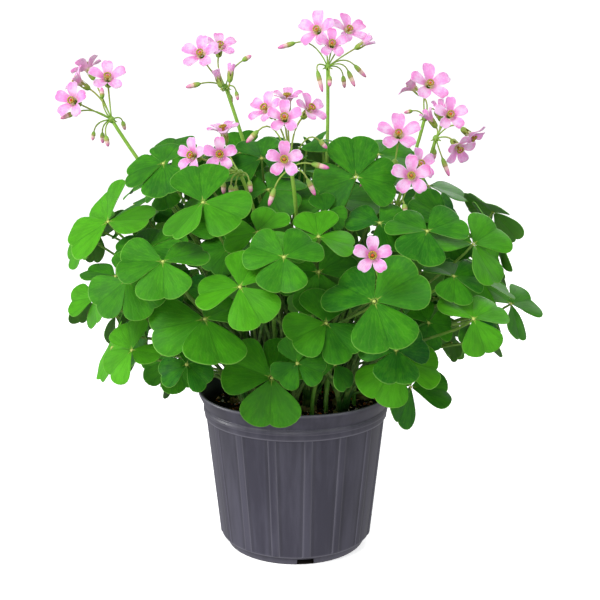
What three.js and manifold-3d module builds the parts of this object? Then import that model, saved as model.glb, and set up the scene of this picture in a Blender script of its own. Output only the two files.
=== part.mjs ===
// A pink wood sorrel in a round nursery pot, in millimetres, +Z up.
// The origin is the middle of the pot's foot, on the surface that the pot stands on.
// The pot and the soil are turned solids. Leaves grow in fourteen crowns, each a stub in the
// soil with several three-leaflet leaves on long stalks. Ten flower stalks carry umbels of
// flower heads and buds, and each flower's corolla is a solid of its own in its green cup.

import * as THREE from 'three';
import { mergeVertices } from 'three/addons/utils/BufferGeometryUtils.js';
import Module from 'manifold-3d';

const wasm = await Module();
wasm.setup();

// Driving sizes of the pot
const POT_HEIGHT = 92;
const RIM_RADIUS = 56;
const COLLAR_TOP = 82.5;
const COLLAR_BOTTOM = 76;
const COLLAR_RADIUS = 53;
const BODY_TOP_RADIUS = 51.2;
const BODY_FOOT_RADIUS = 43.6;
const BODY_BOTTOM = 5;
const FOOT_RADIUS = 40.2;
const FOOT_INNER_RADIUS = 36.6;
const POT_WALL = 1.7;
const FLOOR_BOTTOM = 3.2;
const FLOOR_TOP = 5;
const POT_SIDES = 32;
const RIB_COUNT = 16;
const RIB_WIDTH = 4.4;
const RIB_PROUD = 0.5;
const FIRST_RIB_ANGLE = -82;
const NOTCH_COUNT = 4;
const NOTCH_WIDTH = 9.5;
const NOTCH_HEIGHT = 2.8;
const DRAIN_RADIUS = 4;
const DRAIN_RING = 29;

// Driving sizes of the soil and what stands in it
const SOIL_TOP = 84;
const SOIL_ROUGHNESS = 0.6;
const SOIL_SIDES = 24;
const GAP = 0.3;
const SLIVER = 0.012;
const CROWN_COUNT = 14;
const CROWN_SPREAD = 41;
const CROWN_DEPTH = 9;
const CROWN_STAND = 2;
const CROWN_RADIUS = 4.6;
const STALK_DEPTH = 8;
const STALK_RADIUS = 1.25;
const CROWN_SIDES = 6;
const STALK_SIDES = 4;
const STALK_STEPS = 6;
const PEDICEL_STEPS = 2;
const SAMPLE_SPACING = 3;

// Driving sizes of a leaf
const LEAF_COUNT = 80;
const BLADE_THICKNESS = 0.7;
const LEAFLET_HALF_ANGLE = 52;
const LEAFLET_ROUNDNESS = 4.5;
const NOTCH_DEPTH = 0.1;
const NOTCH_ANGLE = 9;
const HUB_RADIUS = 1.7;
const LEAFLET_DROOP = 12;
const BLADE_FOLD = 0.13;
const BLADE_CROWN = 0.18;
const BLADE_BOW = 0.06;
const OUTLINE_ANGLES = [-0.9, -0.5, 0, 0.5, 0.9];
const PETIOLE_FOOT_RADIUS = 1.15;
const PETIOLE_TOP_RADIUS = 0.8;
const PETIOLE_STEPS = 4;

// How a leaf's stalk leaves its crown and comes to its blade from below
const SLOT_COUNT = 7;
const SLOT_RADIUS = 2.9;
const LIFT_BASE = 12;
const LIFT_SHARES = [0.42, 0.58, 0.3];
const LIFT_SPREAD = 0.06;
const NECK_BASE = 10;
const NECK_SHARE = 0.14;
const FREE_HEIGHT = 4;
const OUT_OF_NEST_HEIGHT = 9;

// Clearances kept between leaves, stalks, flowers, pot and soil
const BLADE_CLEARANCE = 2.1;
const STEM_TO_BLADE_CLEARANCE = 2.2;
const EDGE_CLEARANCE = 1;
const STEM_CLEARANCE = 3.2;
const SISTER_CLEARANCE = 2.4;
const SISTER_HEIGHT = 20;
const RIM_CLEARANCE = 2;

// The box that the leaves keep to, and the ways a leaf is moved until it is clear
const LEFT_LIMIT = -133;
const RIGHT_LIMIT = 137;
const DEPTH_LIMIT = 127;
const SEAT_SHARE = 0.3;
const CROWN_CHOICE = 5;
const TILT_TRIES = [0, 8, -8, 16];
const OUTWARD_STEPS = [0, -4, 4, -8, 8, -13, 12];
const SIGHT_STEPS = [0, 4, -4, 8, -8, 12, 16, -12, 21, 27, 34, 42, 50, 58];

// Driving sizes of a flower and a bud
const COROLLA_TUBE = 6.5;
const COROLLA_BASE_RADIUS = 1.3;
const THROAT_RADIUS = 2.7;
const THROAT_DEPTH = 1.2;
const THROAT_WELL = 0.55;
const CLOSED_THROAT = 0.55;
const PETAL_SPREADS = [14, 84];
const PETAL_THICKNESS = 0.7;
const VALLEY_SHARE = 0.42;
const SHOULDER_ANGLE = 19;
const CALYX_LENGTH = 4;
const CALYX_RADIUS = 1.7;
const PEDICEL_RADIUS = 0.5;
const PEDICEL_BEND = 0.42;
const STALK_LIFT = 0.36;
const STALK_NECK = 0.34;
const BUD_RADIUS = 1.45;
const BUD_BEND = 0.5;
const SMALL_BUD = 7;
const KNOB_RADIUS = 2.3;
const KNOB_OFFSET = 0.8;

const rad = THREE.MathUtils.degToRad;
const vec = (x, y, z) => new THREE.Vector3(x, y, z);
const UP = vec(0, 0, 1);
const SIGHT_POINT = vec(2.5, -600, 270);

// Flower stalks: the root in the soil, the hub that the umbel spreads from, and the way the stalk
// points there. Flowers give their place from the hub, the bearing and height they face, their
// radius, and how far they are open. Buds give their base and tip from the hub.
const UMBELS = [
  {
    name: 'a', root: [-24, -2], hub: [-99, -10, 244], rise: [-0.51, 0, 0.86],
    flowers: [
      [1, -14, 24, -82, 40, 10.2, 1],
      [-15, 10, 30, 150, 58, 9.4, 1],
      [-20, 0, 22, -165, 34, 8.6, 0.9],
      [-19, -15, 11, -112, 16, 10, 1],
    ],
    buds: [
      [-5, 2, 11, -5, 2, 17], [-18, -8, 4, -25, -12, 1], [-9, -4, -6, -10, -4, -11],
      [-6, 4, -7, -6, 4, -13], [-2, -8, -8, -1, -8, -14], [5, 5, -1, 6, 7, -6],
    ],
  },
  {
    name: 'b', root: [-6, 12], hub: [-38, 0, 261], rise: [-0.32, 0, 0.95],
    flowers: [
      [-13, -12, 19, -105, 32, 10.8, 1],
      [-3, 8, 24, -75, 48, 9.6, 1],
      [4, -9, 13, 60, 78, 3.4, 0.3],
      [-5, -7, 10, 160, 72, 3.2, 0.3],
    ],
    buds: [
      [-13, -6, 2, -21, -8, 0], [9, 4, 14, 14, 6, 17], [6, -6, -2, 7, -6, -7],
      [2, 5, -4, 3, 6, -9],
    ],
  },
  {
    name: 'c', root: [14, 12], hub: [18, 20, 272], rise: [-0.02, 0, 1],
    flowers: [
      [-7, -4, 21, -115, 26, 11.4, 1],
      [13, 7, 22, -62, 40, 11.4, 1],
      [2, -20, 13, -88, 22, 8.8, 1],
      [24, -6, 15, -8, 30, 5.2, 0.45],
    ],
    buds: [
      [-18, -2, 13, -28, -4, 10], [-6, -9, -2, -3, -11, -14], [11, -6, -2, 15, -8, -11],
      [15, 4, 1, 22, 4, -6], [1, -6, -5, 1, -8, -11], [9, 8, -5, 10, 9, -12],
    ],
  },
  {
    name: 'd', root: [-2, -12], hub: [-2, -60, 222], rise: [-0.15, -0.2, 0.97],
    flowers: [
      [-3, -19, 27, -92, 26, 8.8, 1],
      [-14, 1, 31, -128, 36, 9.6, 1],
      [11, 2, 31, -48, 38, 9.2, 1],
      [-2, 14, 37, -95, 76, 8.6, 0.9],
      [-3, -26, 7, -92, 12, 9, 1],
    ],
    buds: [
      [-16, -2, 19, -22, -3, 13], [14, 0, 14, 18, 0, 10], [10, -6, 3, 19, -8, 1],
      [8, -9, -4, 12, -12, -12], [-8, -5, -9, -11, -6, -18],
    ],
  },
  {
    name: 'e', root: [-11, -20], hub: [-28, -50, 219], rise: [-0.37, -0.15, 0.92],
    flowers: [
      [-9, -17, 11, -90, 12, 8.8, 1],
      [-25, -8, 10, -125, 16, 9, 1],
      [-9, 6, 24, -120, 72, 8.6, 1],
    ],
    buds: [
      [-8, -5, -4, -8, -6, -10], [-4, -9, -5, -4, -10, -11], [-2, -2, -6, -2, -3, -12],
      [-12, 0, -2, -16, -2, -7], [5, -8, -3, 6, -9, -9],
    ],
  },
  {
    name: 'f', root: [33, -12], hub: [76, -10, 234], rise: [0.25, 0, 0.97],
    flowers: [
      [6, -15, 14, -82, 20, 9.4, 1],
      [12, -13, -6, -62, -32, 9.4, 1],
      [22, 3, -1, -30, -36, 9, 1],
      [3, 8, 18, -100, 62, 6.4, 0.6],
      [-6, -2, 14, -160, 52, 5.4, 0.5],
    ],
    buds: [[3, -5, -10, 7, -6, -20], [0, 5, -6, 0, 6, -12]],
  },
  {
    name: 'g', root: [30, 7], hub: [72, 10, 244], rise: [0.22, 0, 0.97],
    flowers: [
      [2, -9, 20, -78, 32, 12, 1],
      [-9, 8, 19, 170, 40, 9.2, 0.9],
    ],
    buds: [[-7, -2, 4, -12, -3, 3], [6, 4, 4, 9, 6, -1]],
  },
  {
    name: 'h', root: [17, -7], hub: [53, -22, 222], rise: [0.12, -0.05, 0.99],
    flowers: [[1, -9, 17, -92, 40, 12, 1]],
    buds: [
      [-11, -6, -5, -19, -8, -12], [-6, -7, -10, -5, -8, -17], [-8, 5, -4, -11, 6, -11],
      [4, 4, -8, 5, 4, -14],
    ],
  },
  {
    name: 'i', root: [17, -21], hub: [53, -46, 200], rise: [0.25, -0.3, 0.92],
    flowers: [
      [5, -15, 19, -95, 14, 10.4, 1],
      [12, -1, 24, -60, 24, 9, 1],
    ],
    buds: [[-4, -4, 6, -5, -6, -1], [2, -9, 4, 3, -11, -2]],
  },
  {
    name: 'j', root: [9, -30], hub: [40, -98, 172], rise: [0.1, -0.5, 0.86],
    flowers: [[-5, -24, 17, -95, 16, 9, 1]],
    buds: [],
  },
];

// Leaves of the side that faces front, placed one by one: the hub, how far the upper face leans
// from level, the bearing it leans to, the three leaflets and their length. A leaflet has its
// direction as seen from the front, counted from straight down towards the right, how far it
// droops out of the leaf's plane, and how far it is turned about its midrib.
const FRONT_LEAVES = [
  [-12, -67, 116, 60, -92, [[-3, 16, 0], [-112, 0, 0], [143, 25, 0]], 26.5],
  [-43, -98, 154, 48, -98, [[21, -2, -30], [-78, -2, 0], [141, 31, 0]], 27.5],
  [-25, -115, 173, 50, -95, [[30, 6, 0], [-89, 9, 22], [159, 8, 0]], 21.8],
  [37, -109, 165, 55, -84, [[15, -5, 0], [122, -14, -12], [-132, 28, 0]], 27],
  [50, -84, 130, 58, -75, [[-27, 15, 0], [84, 0, -22], [-162, 8, 0]], 24],
  [15, -98, 152, 50, -86, [[42, 9, 0], [-58, -6, 0], [180, 6, 0]], 21.5],
  [64, -82, 194, 34, -70, [[-17, 9, 0], [119, -10, 0], [-125, 12, 0]], 21],
  [-62, -99, 182, 42, -102, [[5, 2, 0], [117, 13, -20], [-96, -4, 0]], 22.5],
  [-81, -88, 171, 52, -100, [[-58, 12, 0], [44, 15, 0], [168, 15, 0]], 21.5],
  [-44, -83, 208, 46, -95, [[-41, 6, 35], [59, -6, 0], [-171, 0, 0]], 24.5],
  [-96, -49, 194, 42, -118, [[-71, 8, 0], [80, 2, -20], [189, 0, -28]], 25.5],
  [11, -115, 180, 60, -88, [[2, 6, 0], [126, 14, 0], [-98, 14, 0]], 20.8],
  [11, -107, 195, 42, -92, [[-70, 12, 10], [80, 12, -20], [186, 6, 0]], 18],
  [88, -72, 186, 42, -56, [[38, 14, -12], [136, -6, 0], [-106, 8, 0]], 23.5],
  [86, -93, 153, 52, -76, [[24, 14, 0], [124, 10, -20], [-136, 8, 15]], 19],
  [115, -36, 148, 50, -50, [[22, 10, -22], [120, 0, -12], [-136, 20, 0]], 21],
  [-110, -20, 148, 55, -135, [[4, 4, 20], [-98, -12, 0], [119, 13, 0]], 17.5],
  [97, -48, 163, 45, -50, [[-10, 12, 0], [92, 2, -25], [-140, 16, 0]], 20],
  [-81, -80, 134, 52, -115, [[-53, 8, 0], [73, 0, -35], [-166, 0, 0]], 18.5],
  [-62, -62, 125, 55, -108, [[22, 0, 0], [-78, 0, 0], [147, 16, 0]], 19.5],
  [-74, -60, 182, 35, -110, [[55, 0, 0], [170, 6, 0], [-92, -6, 0]], 18.5],
  [18, -88, 211, 26, -84, [[84, 2, 0], [182, 10, 0], [-80, 2, 0]], 24],
  [31, -50, 217, 62, -84, [[84, 6, 0], [187, -8, 0], [-70, 12, 0]], 22.5],
  [-68, -40, 223, 34, -115, [[-90, 4, 0], [8, 12, 0], [165, 6, 0]], 22.5],
  [-5, -104, 185, 48, -94, [[-4, -4, 0], [131, 11, 0], [-115, 4, 0]], 20],
  [76, -64, 196, 44, -65, [[4, 9, 0], [122, 38, 0], [-121, -4, 0]], 22],
  [78, -78, 171, 46, -60, [[-3, 0, 0], [106, 0, 0], [206, 30, 0]], 17],
  [-90, -68, 169, 40, -120, [[139, 24, 0], [-113, -12, 28], [-10, 6, 0]], 18],
  [-96, -52, 128, 64, -158, [[-40, 0, 0], [75, 8, 0], [-150, 8, 0]], 19],
  [-32, -92, 187, 46, -98, [[-32, 0, 0], [127, 30, 0], [-131, 11, 0]], 15.5],
  [59, -70, 112, 46, -62, [[-14, 14, -42], [93, -8, -12], [-149, 8, 0]], 22],
  [16, -52, 112, 56, -84, [[24, 18, 0], [130, 4, 0], [-76, 12, 0]], 17],
  [-68, 4, 224, 36, -110, [[50, 4, 0], [-178, 4, 0], [-80, 18, 0]], 20],
  [-4, -60, 217, 36, -90, [[44, 8, 0], [182, 4, 0], [-56, 6, 0]], 22],
  [72, -16, 209, 36, -50, [[-6, 12, 0], [92, -6, -15], [-112, 8, 0]], 23],
  [67, -72, 146, 55, -70, [[-11, 4, 0], [93, 8, 0], [-153, 12, 0]], 17.5],
  [42, -68, 196, 44, -80, [[28, 20, 0], [127, 0, 0], [-115, 10, 0]], 21],
  [46, 8, 224, 30, -80, [[88, 0, 0], [190, 8, 0], [-72, 12, 0]], 22],
  [-18, -20, 224, 34, -95, [[84, 10, 0], [190, 4, 0], [-70, 14, 0]], 21],
  [-31, 12, 225, 50, -100, [[183, 4, 0], [75, 8, 0], [-70, 8, 0]], 17],
];

// The dome of leaves that the rest of the foliage keeps to, by a seeded rule. Leaves that face
// front stand further in and not low, behind the ones placed by hand. Some late ones stand further in.
const DOME_CENTRE = 150;
const DOME_RADIUS = 121;
const DOME_RISE = 86;
const DOME_DROP = 72;
const DOME_LEVELS = [-0.6, 0.98];
const FRONT_BEARINGS = [195, 345];
const FRONT_LEVELS = [-0.1, 0.98];
const FRONT_INSETS = [16, 42];
const SIDE_INSET = 12;
const LATE_TRY = 250;
const LATE_INSET = 24;
const INSET_DROP = 0.6;
const LEAN_AT_RIM = 60;
const LEAN_LOSS = 0.62;
const LEAN_SPREAD = 24;
const LEAN_LIMITS = [6, 76];
const TURN_SPREAD = 40;
const FAN_SPREAD = 8;
const DROOP_SPREAD = 22;
const TWIST_SPREAD = 40;
const LEAF_SIZES = [18, 25];
const GOLDEN_ANGLE = 137.508;
const FIRST_CROWN_TURN = 20;
const FIRST_LEAF_TURN = 40;
const RULE_SEED = 5081;
const RULE_TRIES = 900;

function seededDraw(seed) {
  let state = seed;
  return () => {
    state = (Math.imul(state, 1664525) + 1013904223) >>> 0;
    return state / 4294967296;
  };
}

// Solids as lists of points and triangles

function manifoldOf(points, triangles) {
  const vertProperties = new Float32Array(points.length * 3);
  points.forEach((p, i) => vertProperties.set([p.x, p.y, p.z], i * 3));
  const triVerts = new Uint32Array(triangles.flat());
  return new wasm.Manifold(new wasm.Mesh({ numProp: 3, vertProperties, triVerts }));
}

function manifoldOfGeometry(geometry) {
  const bare = geometry.clone();
  bare.deleteAttribute('uv');
  bare.deleteAttribute('normal');
  const merged = mergeVertices(bare, 1e-4);
  return new wasm.Manifold(new wasm.Mesh({
    numProp: 3,
    vertProperties: new Float32Array(merged.attributes.position.array),
    triVerts: new Uint32Array(merged.index.array),
  }));
}

function geometryOf(manifold) {
  const mesh = manifold.getMesh();
  const geometry = new THREE.BufferGeometry();
  geometry.setAttribute('position', new THREE.BufferAttribute(mesh.vertProperties, 3));
  geometry.setIndex(new THREE.BufferAttribute(mesh.triVerts, 1));
  geometry.computeVertexNormals();
  return geometry;
}

// Joins solids into one, and closes up the slivers that the cuts between them leave
function fuse(solids) {
  return solids.reduce((whole, next) => whole.add(next)).simplify(SLIVER);
}

// A closed tube with flat-sided sections along a path; radii has one value per path point, and
// side is a direction that every section keeps a corner turned to.
function tube(path, radii, sides, side) {
  const points = [];
  const triangles = [];
  path.forEach((centre, i) => {
    const before = path[Math.max(i - 1, 0)];
    const after = path[Math.min(i + 1, path.length - 1)];
    const along = after.clone().sub(before).normalize();
    const across = side.clone().addScaledVector(along, -side.dot(along)).normalize();
    const over = along.clone().cross(across);
    for (let k = 0; k < sides; k += 1) {
      const turn = (2 * Math.PI * k) / sides;
      points.push(centre.clone()
        .addScaledVector(across, Math.cos(turn) * radii[i])
        .addScaledVector(over, Math.sin(turn) * radii[i]));
    }
  });
  const last = (path.length - 1) * sides;
  for (let i = 0; i < path.length - 1; i += 1) {
    for (let k = 0; k < sides; k += 1) {
      const a = i * sides + k;
      const b = i * sides + ((k + 1) % sides);
      triangles.push([a, b, b + sides], [a, b + sides, a + sides]);
    }
  }
  for (let k = 1; k < sides - 1; k += 1) {
    triangles.push([0, k + 1, k], [last, last + k, last + k + 1]);
  }
  return manifoldOf(points, triangles);
}

function curvePoints(corners, steps) {
  const curve = corners.length === 4
    ? new THREE.CubicBezierCurve3(...corners)
    : new THREE.QuadraticBezierCurve3(...corners);
  return curve.getPoints(steps);
}

// The pot: a turned wall with ribs outside, and notches and drain holes in the foot

function potSolid() {
  const slant = (BODY_TOP_RADIUS - BODY_FOOT_RADIUS) / (COLLAR_BOTTOM - BODY_BOTTOM);
  const bodyRadius = (z) => BODY_FOOT_RADIUS + slant * (z - BODY_BOTTOM);
  const profile = [
    [0, FLOOR_BOTTOM], [FOOT_INNER_RADIUS, FLOOR_BOTTOM], [FOOT_INNER_RADIUS, 0],
    [FOOT_RADIUS, 0], [FOOT_RADIUS + 0.4, BODY_BOTTOM - 0.4], [BODY_FOOT_RADIUS, BODY_BOTTOM],
    [BODY_TOP_RADIUS, COLLAR_BOTTOM], [COLLAR_RADIUS - 0.6, COLLAR_BOTTOM + 0.4],
    [COLLAR_RADIUS, COLLAR_TOP - 1], [COLLAR_RADIUS - 0.8, COLLAR_TOP],
    [RIM_RADIUS, POT_HEIGHT - 1.6], [RIM_RADIUS - 0.2, POT_HEIGHT], [RIM_RADIUS - 1.4, POT_HEIGHT],
    [COLLAR_RADIUS - 1.6, COLLAR_TOP + 2.6], [BODY_TOP_RADIUS - POT_WALL, COLLAR_BOTTOM],
    [bodyRadius(FLOOR_TOP) - POT_WALL, FLOOR_TOP], [0, FLOOR_TOP],
  ];
  const turned = new THREE.LatheGeometry(profile.map(([r, z]) => new THREE.Vector2(r, z)), POT_SIDES);
  turned.rotateX(Math.PI / 2);
  turned.rotateZ(rad(FIRST_RIB_ANGLE) - Math.PI / 2 + Math.PI / POT_SIDES);
  let pot = manifoldOfGeometry(turned);

  for (let i = 0; i < RIB_COUNT; i += 1) {
    const rib = new THREE.BoxGeometry(2 * RIB_PROUD + 1, RIB_WIDTH, 1);
    const place = rib.attributes.position;
    for (let k = 0; k < place.count; k += 1) {
      const z = place.getZ(k) > 0 ? COLLAR_BOTTOM + 0.2 : BODY_BOTTOM + 0.6;
      const outer = place.getX(k) > 0;
      const r = bodyRadius(z) + (outer ? RIB_PROUD : -0.9);
      const half = (RIB_WIDTH / 2 - (outer ? RIB_PROUD * 0.6 : 0)) * Math.sign(place.getY(k));
      place.setXYZ(k, r, half, z);
    }
    rib.rotateZ(rad(FIRST_RIB_ANGLE + (360 / RIB_COUNT) * i));
    pot = pot.add(manifoldOfGeometry(rib));
  }

  for (let i = 0; i < NOTCH_COUNT; i += 1) {
    const turn = rad(FIRST_RIB_ANGLE + (360 / NOTCH_COUNT) * i);
    const notch = new THREE.BoxGeometry(12, NOTCH_WIDTH, NOTCH_HEIGHT + 2);
    notch.translate(FOOT_RADIUS - 2, 0, NOTCH_HEIGHT / 2 - 1);
    notch.rotateZ(turn);
    pot = pot.subtract(manifoldOfGeometry(notch));
    const drain = new THREE.CylinderGeometry(DRAIN_RADIUS, DRAIN_RADIUS, 8, 8);
    drain.rotateX(Math.PI / 2);
    drain.translate(DRAIN_RING, 0, FLOOR_TOP - 2);
    drain.rotateZ(turn);
    pot = pot.subtract(manifoldOfGeometry(drain));
  }
  return pot;
}

// The soil: fills the pot to just under the rim, with a plain hole for each crown and stalk

function crownPlaces() {
  return Array.from({ length: CROWN_COUNT }, (_, k) => {
    const reach = CROWN_SPREAD * Math.sqrt((k + 0.6) / CROWN_COUNT);
    const turn = rad(FIRST_CROWN_TURN + GOLDEN_ANGLE * k);
    return { place: vec(reach * Math.cos(turn), reach * Math.sin(turn), SOIL_TOP), taken: [] };
  });
}

function plug(x, y, bottomZ, topZ, radius, sides) {
  const body = new THREE.CylinderGeometry(radius, radius, topZ - bottomZ, sides);
  body.rotateX(Math.PI / 2);
  body.translate(x, y, (topZ + bottomZ) / 2);
  return manifoldOfGeometry(body);
}

function soilSolid(crowns) {
  const innerTop = BODY_TOP_RADIUS - POT_WALL - GAP - 0.2;
  const innerFoot = BODY_FOOT_RADIUS - POT_WALL - GAP - 0.2;
  const bottom = FLOOR_TOP + GAP;
  const profile = [
    [0, bottom], [innerFoot, bottom], [innerTop, COLLAR_BOTTOM], [innerTop + 0.6, SOIL_TOP - 1],
    [38, SOIL_TOP], [20, SOIL_TOP], [0, SOIL_TOP],
  ];
  const turned = new THREE.LatheGeometry(profile.map(([r, z]) => new THREE.Vector2(r, z)), SOIL_SIDES);
  turned.rotateX(Math.PI / 2);
  const place = turned.attributes.position;
  for (let k = 0; k < place.count; k += 1) {
    const [x, y, z] = [place.getX(k), place.getY(k), place.getZ(k)];
    if (z > SOIL_TOP - 0.5) {
      place.setZ(k, z - SOIL_ROUGHNESS * (2 - Math.sin(0.21 * x + 1) - Math.cos(0.17 * y - 0.12 * x)));
    }
  }
  let soil = manifoldOfGeometry(turned);
  const above = SOIL_TOP + 6;
  for (const crown of crowns) {
    const depth = SOIL_TOP - CROWN_DEPTH - GAP;
    const radius = CROWN_RADIUS + GAP / Math.cos(Math.PI / CROWN_SIDES);
    soil = soil.subtract(plug(crown.place.x, crown.place.y, depth, above, radius, CROWN_SIDES));
  }
  for (const { root } of UMBELS) {
    const depth = SOIL_TOP - STALK_DEPTH - GAP;
    const radius = (STALK_RADIUS + GAP) / Math.cos(Math.PI / STALK_SIDES);
    soil = soil.subtract(plug(root[0], root[1], depth, above, radius, STALK_SIDES));
  }
  return soil.simplify(SLIVER);
}

// A leaf: where its hub is, the directions of its plane, its leaflets and its stalk

function makeLeaf(hub, lean, toward, fan, size, seat) {
  const leanAngle = rad(lean);
  const normal = vec(
    Math.sin(leanAngle) * Math.cos(rad(toward)),
    Math.sin(leanAngle) * Math.sin(rad(toward)),
    Math.cos(leanAngle),
  );
  const down = vec(0, -normal.z, normal.y).normalize();
  const across = normal.clone().cross(down);
  const turns = fan.map(([angle, droop, twist]) => (
    [THREE.MathUtils.euclideanModulo(angle, 360), droop, twist]));
  const leaflets = turns.sort((a, b) => a[0] - b[0]).map(([angle, droop, twist]) => {
    const out = down.clone().multiplyScalar(Math.cos(rad(angle)))
      .addScaledVector(across, Math.sin(rad(angle)));
    const along = out.clone().multiplyScalar(Math.cos(rad(droop)))
      .addScaledVector(normal, -Math.sin(rad(droop)));
    const level = normal.clone().cross(out);
    const left = level.clone().multiplyScalar(Math.cos(rad(twist)))
      .addScaledVector(along.clone().cross(level), Math.sin(rad(twist)));
    return { out, along, left, up: along.clone().cross(left) };
  });
  const root = seat.crown.place.clone()
    .add(vec(Math.cos(seat.angle), Math.sin(seat.angle), 0).multiplyScalar(SLOT_RADIUS));
  const outward = vec(hub.x - root.x, hub.y - root.y, 0);
  const lift = root.clone().addScaledVector(UP, LIFT_BASE + seat.liftShare * (hub.z - root.z))
    .addScaledVector(outward, LIFT_SPREAD);
  const neck = hub.clone().addScaledVector(normal, -NECK_BASE - NECK_SHARE * hub.distanceTo(root));
  return { hub, normal, leaflets, size, crown: seat.crown, petiole: [root, lift, neck, hub.clone()] };
}

// How far a leaflet reaches from its root at the angle phi from its midrib, as a share of its size
function leafletReach(phi) {
  const share = Math.min(Math.abs(phi) / rad(LEAFLET_HALF_ANGLE), 1);
  const wedge = (1 - share ** LEAFLET_ROUNDNESS) ** (1 / LEAFLET_ROUNDNESS);
  return wedge - NOTCH_DEPTH * Math.exp(-((phi / rad(NOTCH_ANGLE)) ** 2));
}

// How far the blade stands above the leaflet's plane: folded up at the midrib, arched at its sides
function bladeHeight(x, y) {
  const side = Math.abs(y);
  return BLADE_FOLD * side - BLADE_CROWN * side * side - BLADE_BOW * x * x;
}

function leafletPoint(leaf, leaflet, x, y) {
  const { along, left, up } = leaflet;
  return leaf.hub.clone()
    .addScaledVector(along, x * leaf.size)
    .addScaledVector(left, y * leaf.size)
    .addScaledVector(up, bladeHeight(x, y) * leaf.size);
}

// One leaf as one closed shell: both faces of three leaflets round the hub, their rims, and the
// stalk, whose top section opens into the lower face.
function leafSolid(leaf) {
  const half = BLADE_THICKNESS / 2;
  const perLeaflet = OUTLINE_ANGLES.length + 1;
  const count = 3 * perLeaflet;
  const edge = [];
  const lift = [];
  leaf.leaflets.forEach((leaflet, k) => {
    const before = leaf.leaflets[(k + 2) % 3];
    const valley = leaflet.out.clone().add(before.out).normalize();
    edge.push(leaf.hub.clone().addScaledVector(valley, HUB_RADIUS));
    lift.push(leaf.normal);
    for (const share of OUTLINE_ANGLES) {
      const phi = share * rad(LEAFLET_HALF_ANGLE);
      const reach = leafletReach(phi);
      edge.push(leafletPoint(leaf, leaflet, reach * Math.cos(phi), reach * Math.sin(phi)));
      lift.push(leaflet.up);
    }
  });
  const points = [
    ...edge.map((p, i) => p.clone().addScaledVector(lift[i], half)),
    ...edge.map((p, i) => p.clone().addScaledVector(lift[i], -half)),
    leaf.hub.clone().addScaledVector(leaf.normal, half),
  ];
  const middle = 2 * count;
  const triangles = [];
  const ringTop = points.length;
  const steps = PETIOLE_STEPS;
  const path = curvePoints(leaf.petiole, steps).reverse();
  path[0].addScaledVector(leaf.normal, -half);
  path.forEach((centre, i) => {
    const radius = THREE.MathUtils.lerp(PETIOLE_TOP_RADIUS, PETIOLE_FOOT_RADIUS, i / steps);
    const before = path[Math.max(i - 1, 0)];
    const after = path[Math.min(i + 1, steps)];
    const along = i === 0 ? leaf.normal : before.clone().sub(after).normalize();
    leaf.leaflets.forEach(({ out }) => {
      const spoke = out.clone().addScaledVector(along, -out.dot(along)).normalize();
      points.push(centre.clone().addScaledVector(spoke, radius));
    });
  });
  for (let k = 0; k < 3; k += 1) {
    const start = k * perLeaflet;
    const next = (start + perLeaflet) % count;
    const spoke = ringTop + k;
    const nextSpoke = ringTop + ((k + 1) % 3);
    for (let j = start; j < start + perLeaflet; j += 1) {
      const j1 = (j + 1) % count;
      triangles.push([middle, j, j1], [spoke, j1 + count, j + count]);
      triangles.push([j, j + count, j1 + count], [j, j1 + count, j1]);
    }
    triangles.push([spoke, nextSpoke, next + count]);
    for (let i = 0; i < steps; i += 1) {
      const a = spoke + 3 * i;
      const b = nextSpoke + 3 * i;
      triangles.push([a, a + 3, b + 3], [a, b + 3, b]);
    }
  }
  const foot = ringTop + 3 * steps;
  triangles.push([foot, foot + 2, foot + 1]);
  return manifoldOf(points, triangles);
}

// Clearance: a leaf is a set of sample points on its blades and its stalk, and a blade test

function bladeSamples(leaf) {
  const samples = [];
  for (const leaflet of leaf.leaflets) {
    for (const share of [0.16, 0.32, 0.48, 0.64, 0.8, 1]) {
      const count = 2 + Math.round(8 * share);
      for (let k = 0; k < count; k += 1) {
        const phi = rad(LEAFLET_HALF_ANGLE) * 0.93 * (-1 + (2 * k) / (count - 1));
        const reach = share * leafletReach(phi);
        samples.push(leafletPoint(leaf, leaflet, reach * Math.cos(phi), reach * Math.sin(phi)));
      }
    }
  }
  return samples;
}

// Points of a stem's smooth curve, and of the straight runs that its solid is built of
function stemSamples(corners, steps, spacing) {
  const length = corners[0].distanceTo(corners[corners.length - 1]) * 1.1;
  const samples = curvePoints(corners, Math.max(4, Math.ceil(length / spacing)));
  const path = curvePoints(corners, steps);
  for (let i = 1; i < path.length; i += 1) {
    const count = Math.ceil(path[i].distanceTo(path[i - 1]) / spacing);
    for (let k = 0; k < count; k += 1) {
      samples.push(path[i - 1].clone().lerp(path[i], k / count));
    }
  }
  return samples;
}

function touchesBlade(leaf, samples, clearance) {
  const reachLimit = leaf.size + EDGE_CLEARANCE + 2;
  const offset = new THREE.Vector3();
  for (const sample of samples) {
    offset.copy(sample).sub(leaf.hub);
    if (offset.lengthSq() > reachLimit * reachLimit) {
      continue;
    }
    for (const { along, left, up } of leaf.leaflets) {
      const x = offset.dot(along);
      const y = offset.dot(left);
      const phi = Math.atan2(y, x);
      const limit = leaf.size * leafletReach(phi) + EDGE_CLEARANCE;
      if (Math.abs(phi) > rad(LEAFLET_HALF_ANGLE + 4) || Math.hypot(x, y) > limit) {
        continue;
      }
      const height = offset.dot(up) - bladeHeight(x / leaf.size, y / leaf.size) * leaf.size;
      if (Math.abs(height) < clearance) {
        return true;
      }
    }
  }
  return false;
}

function touchesStem(samples, others, clearance) {
  return samples.some((p) => others.some((q) => p.distanceToSquared(q) < clearance * clearance));
}

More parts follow.
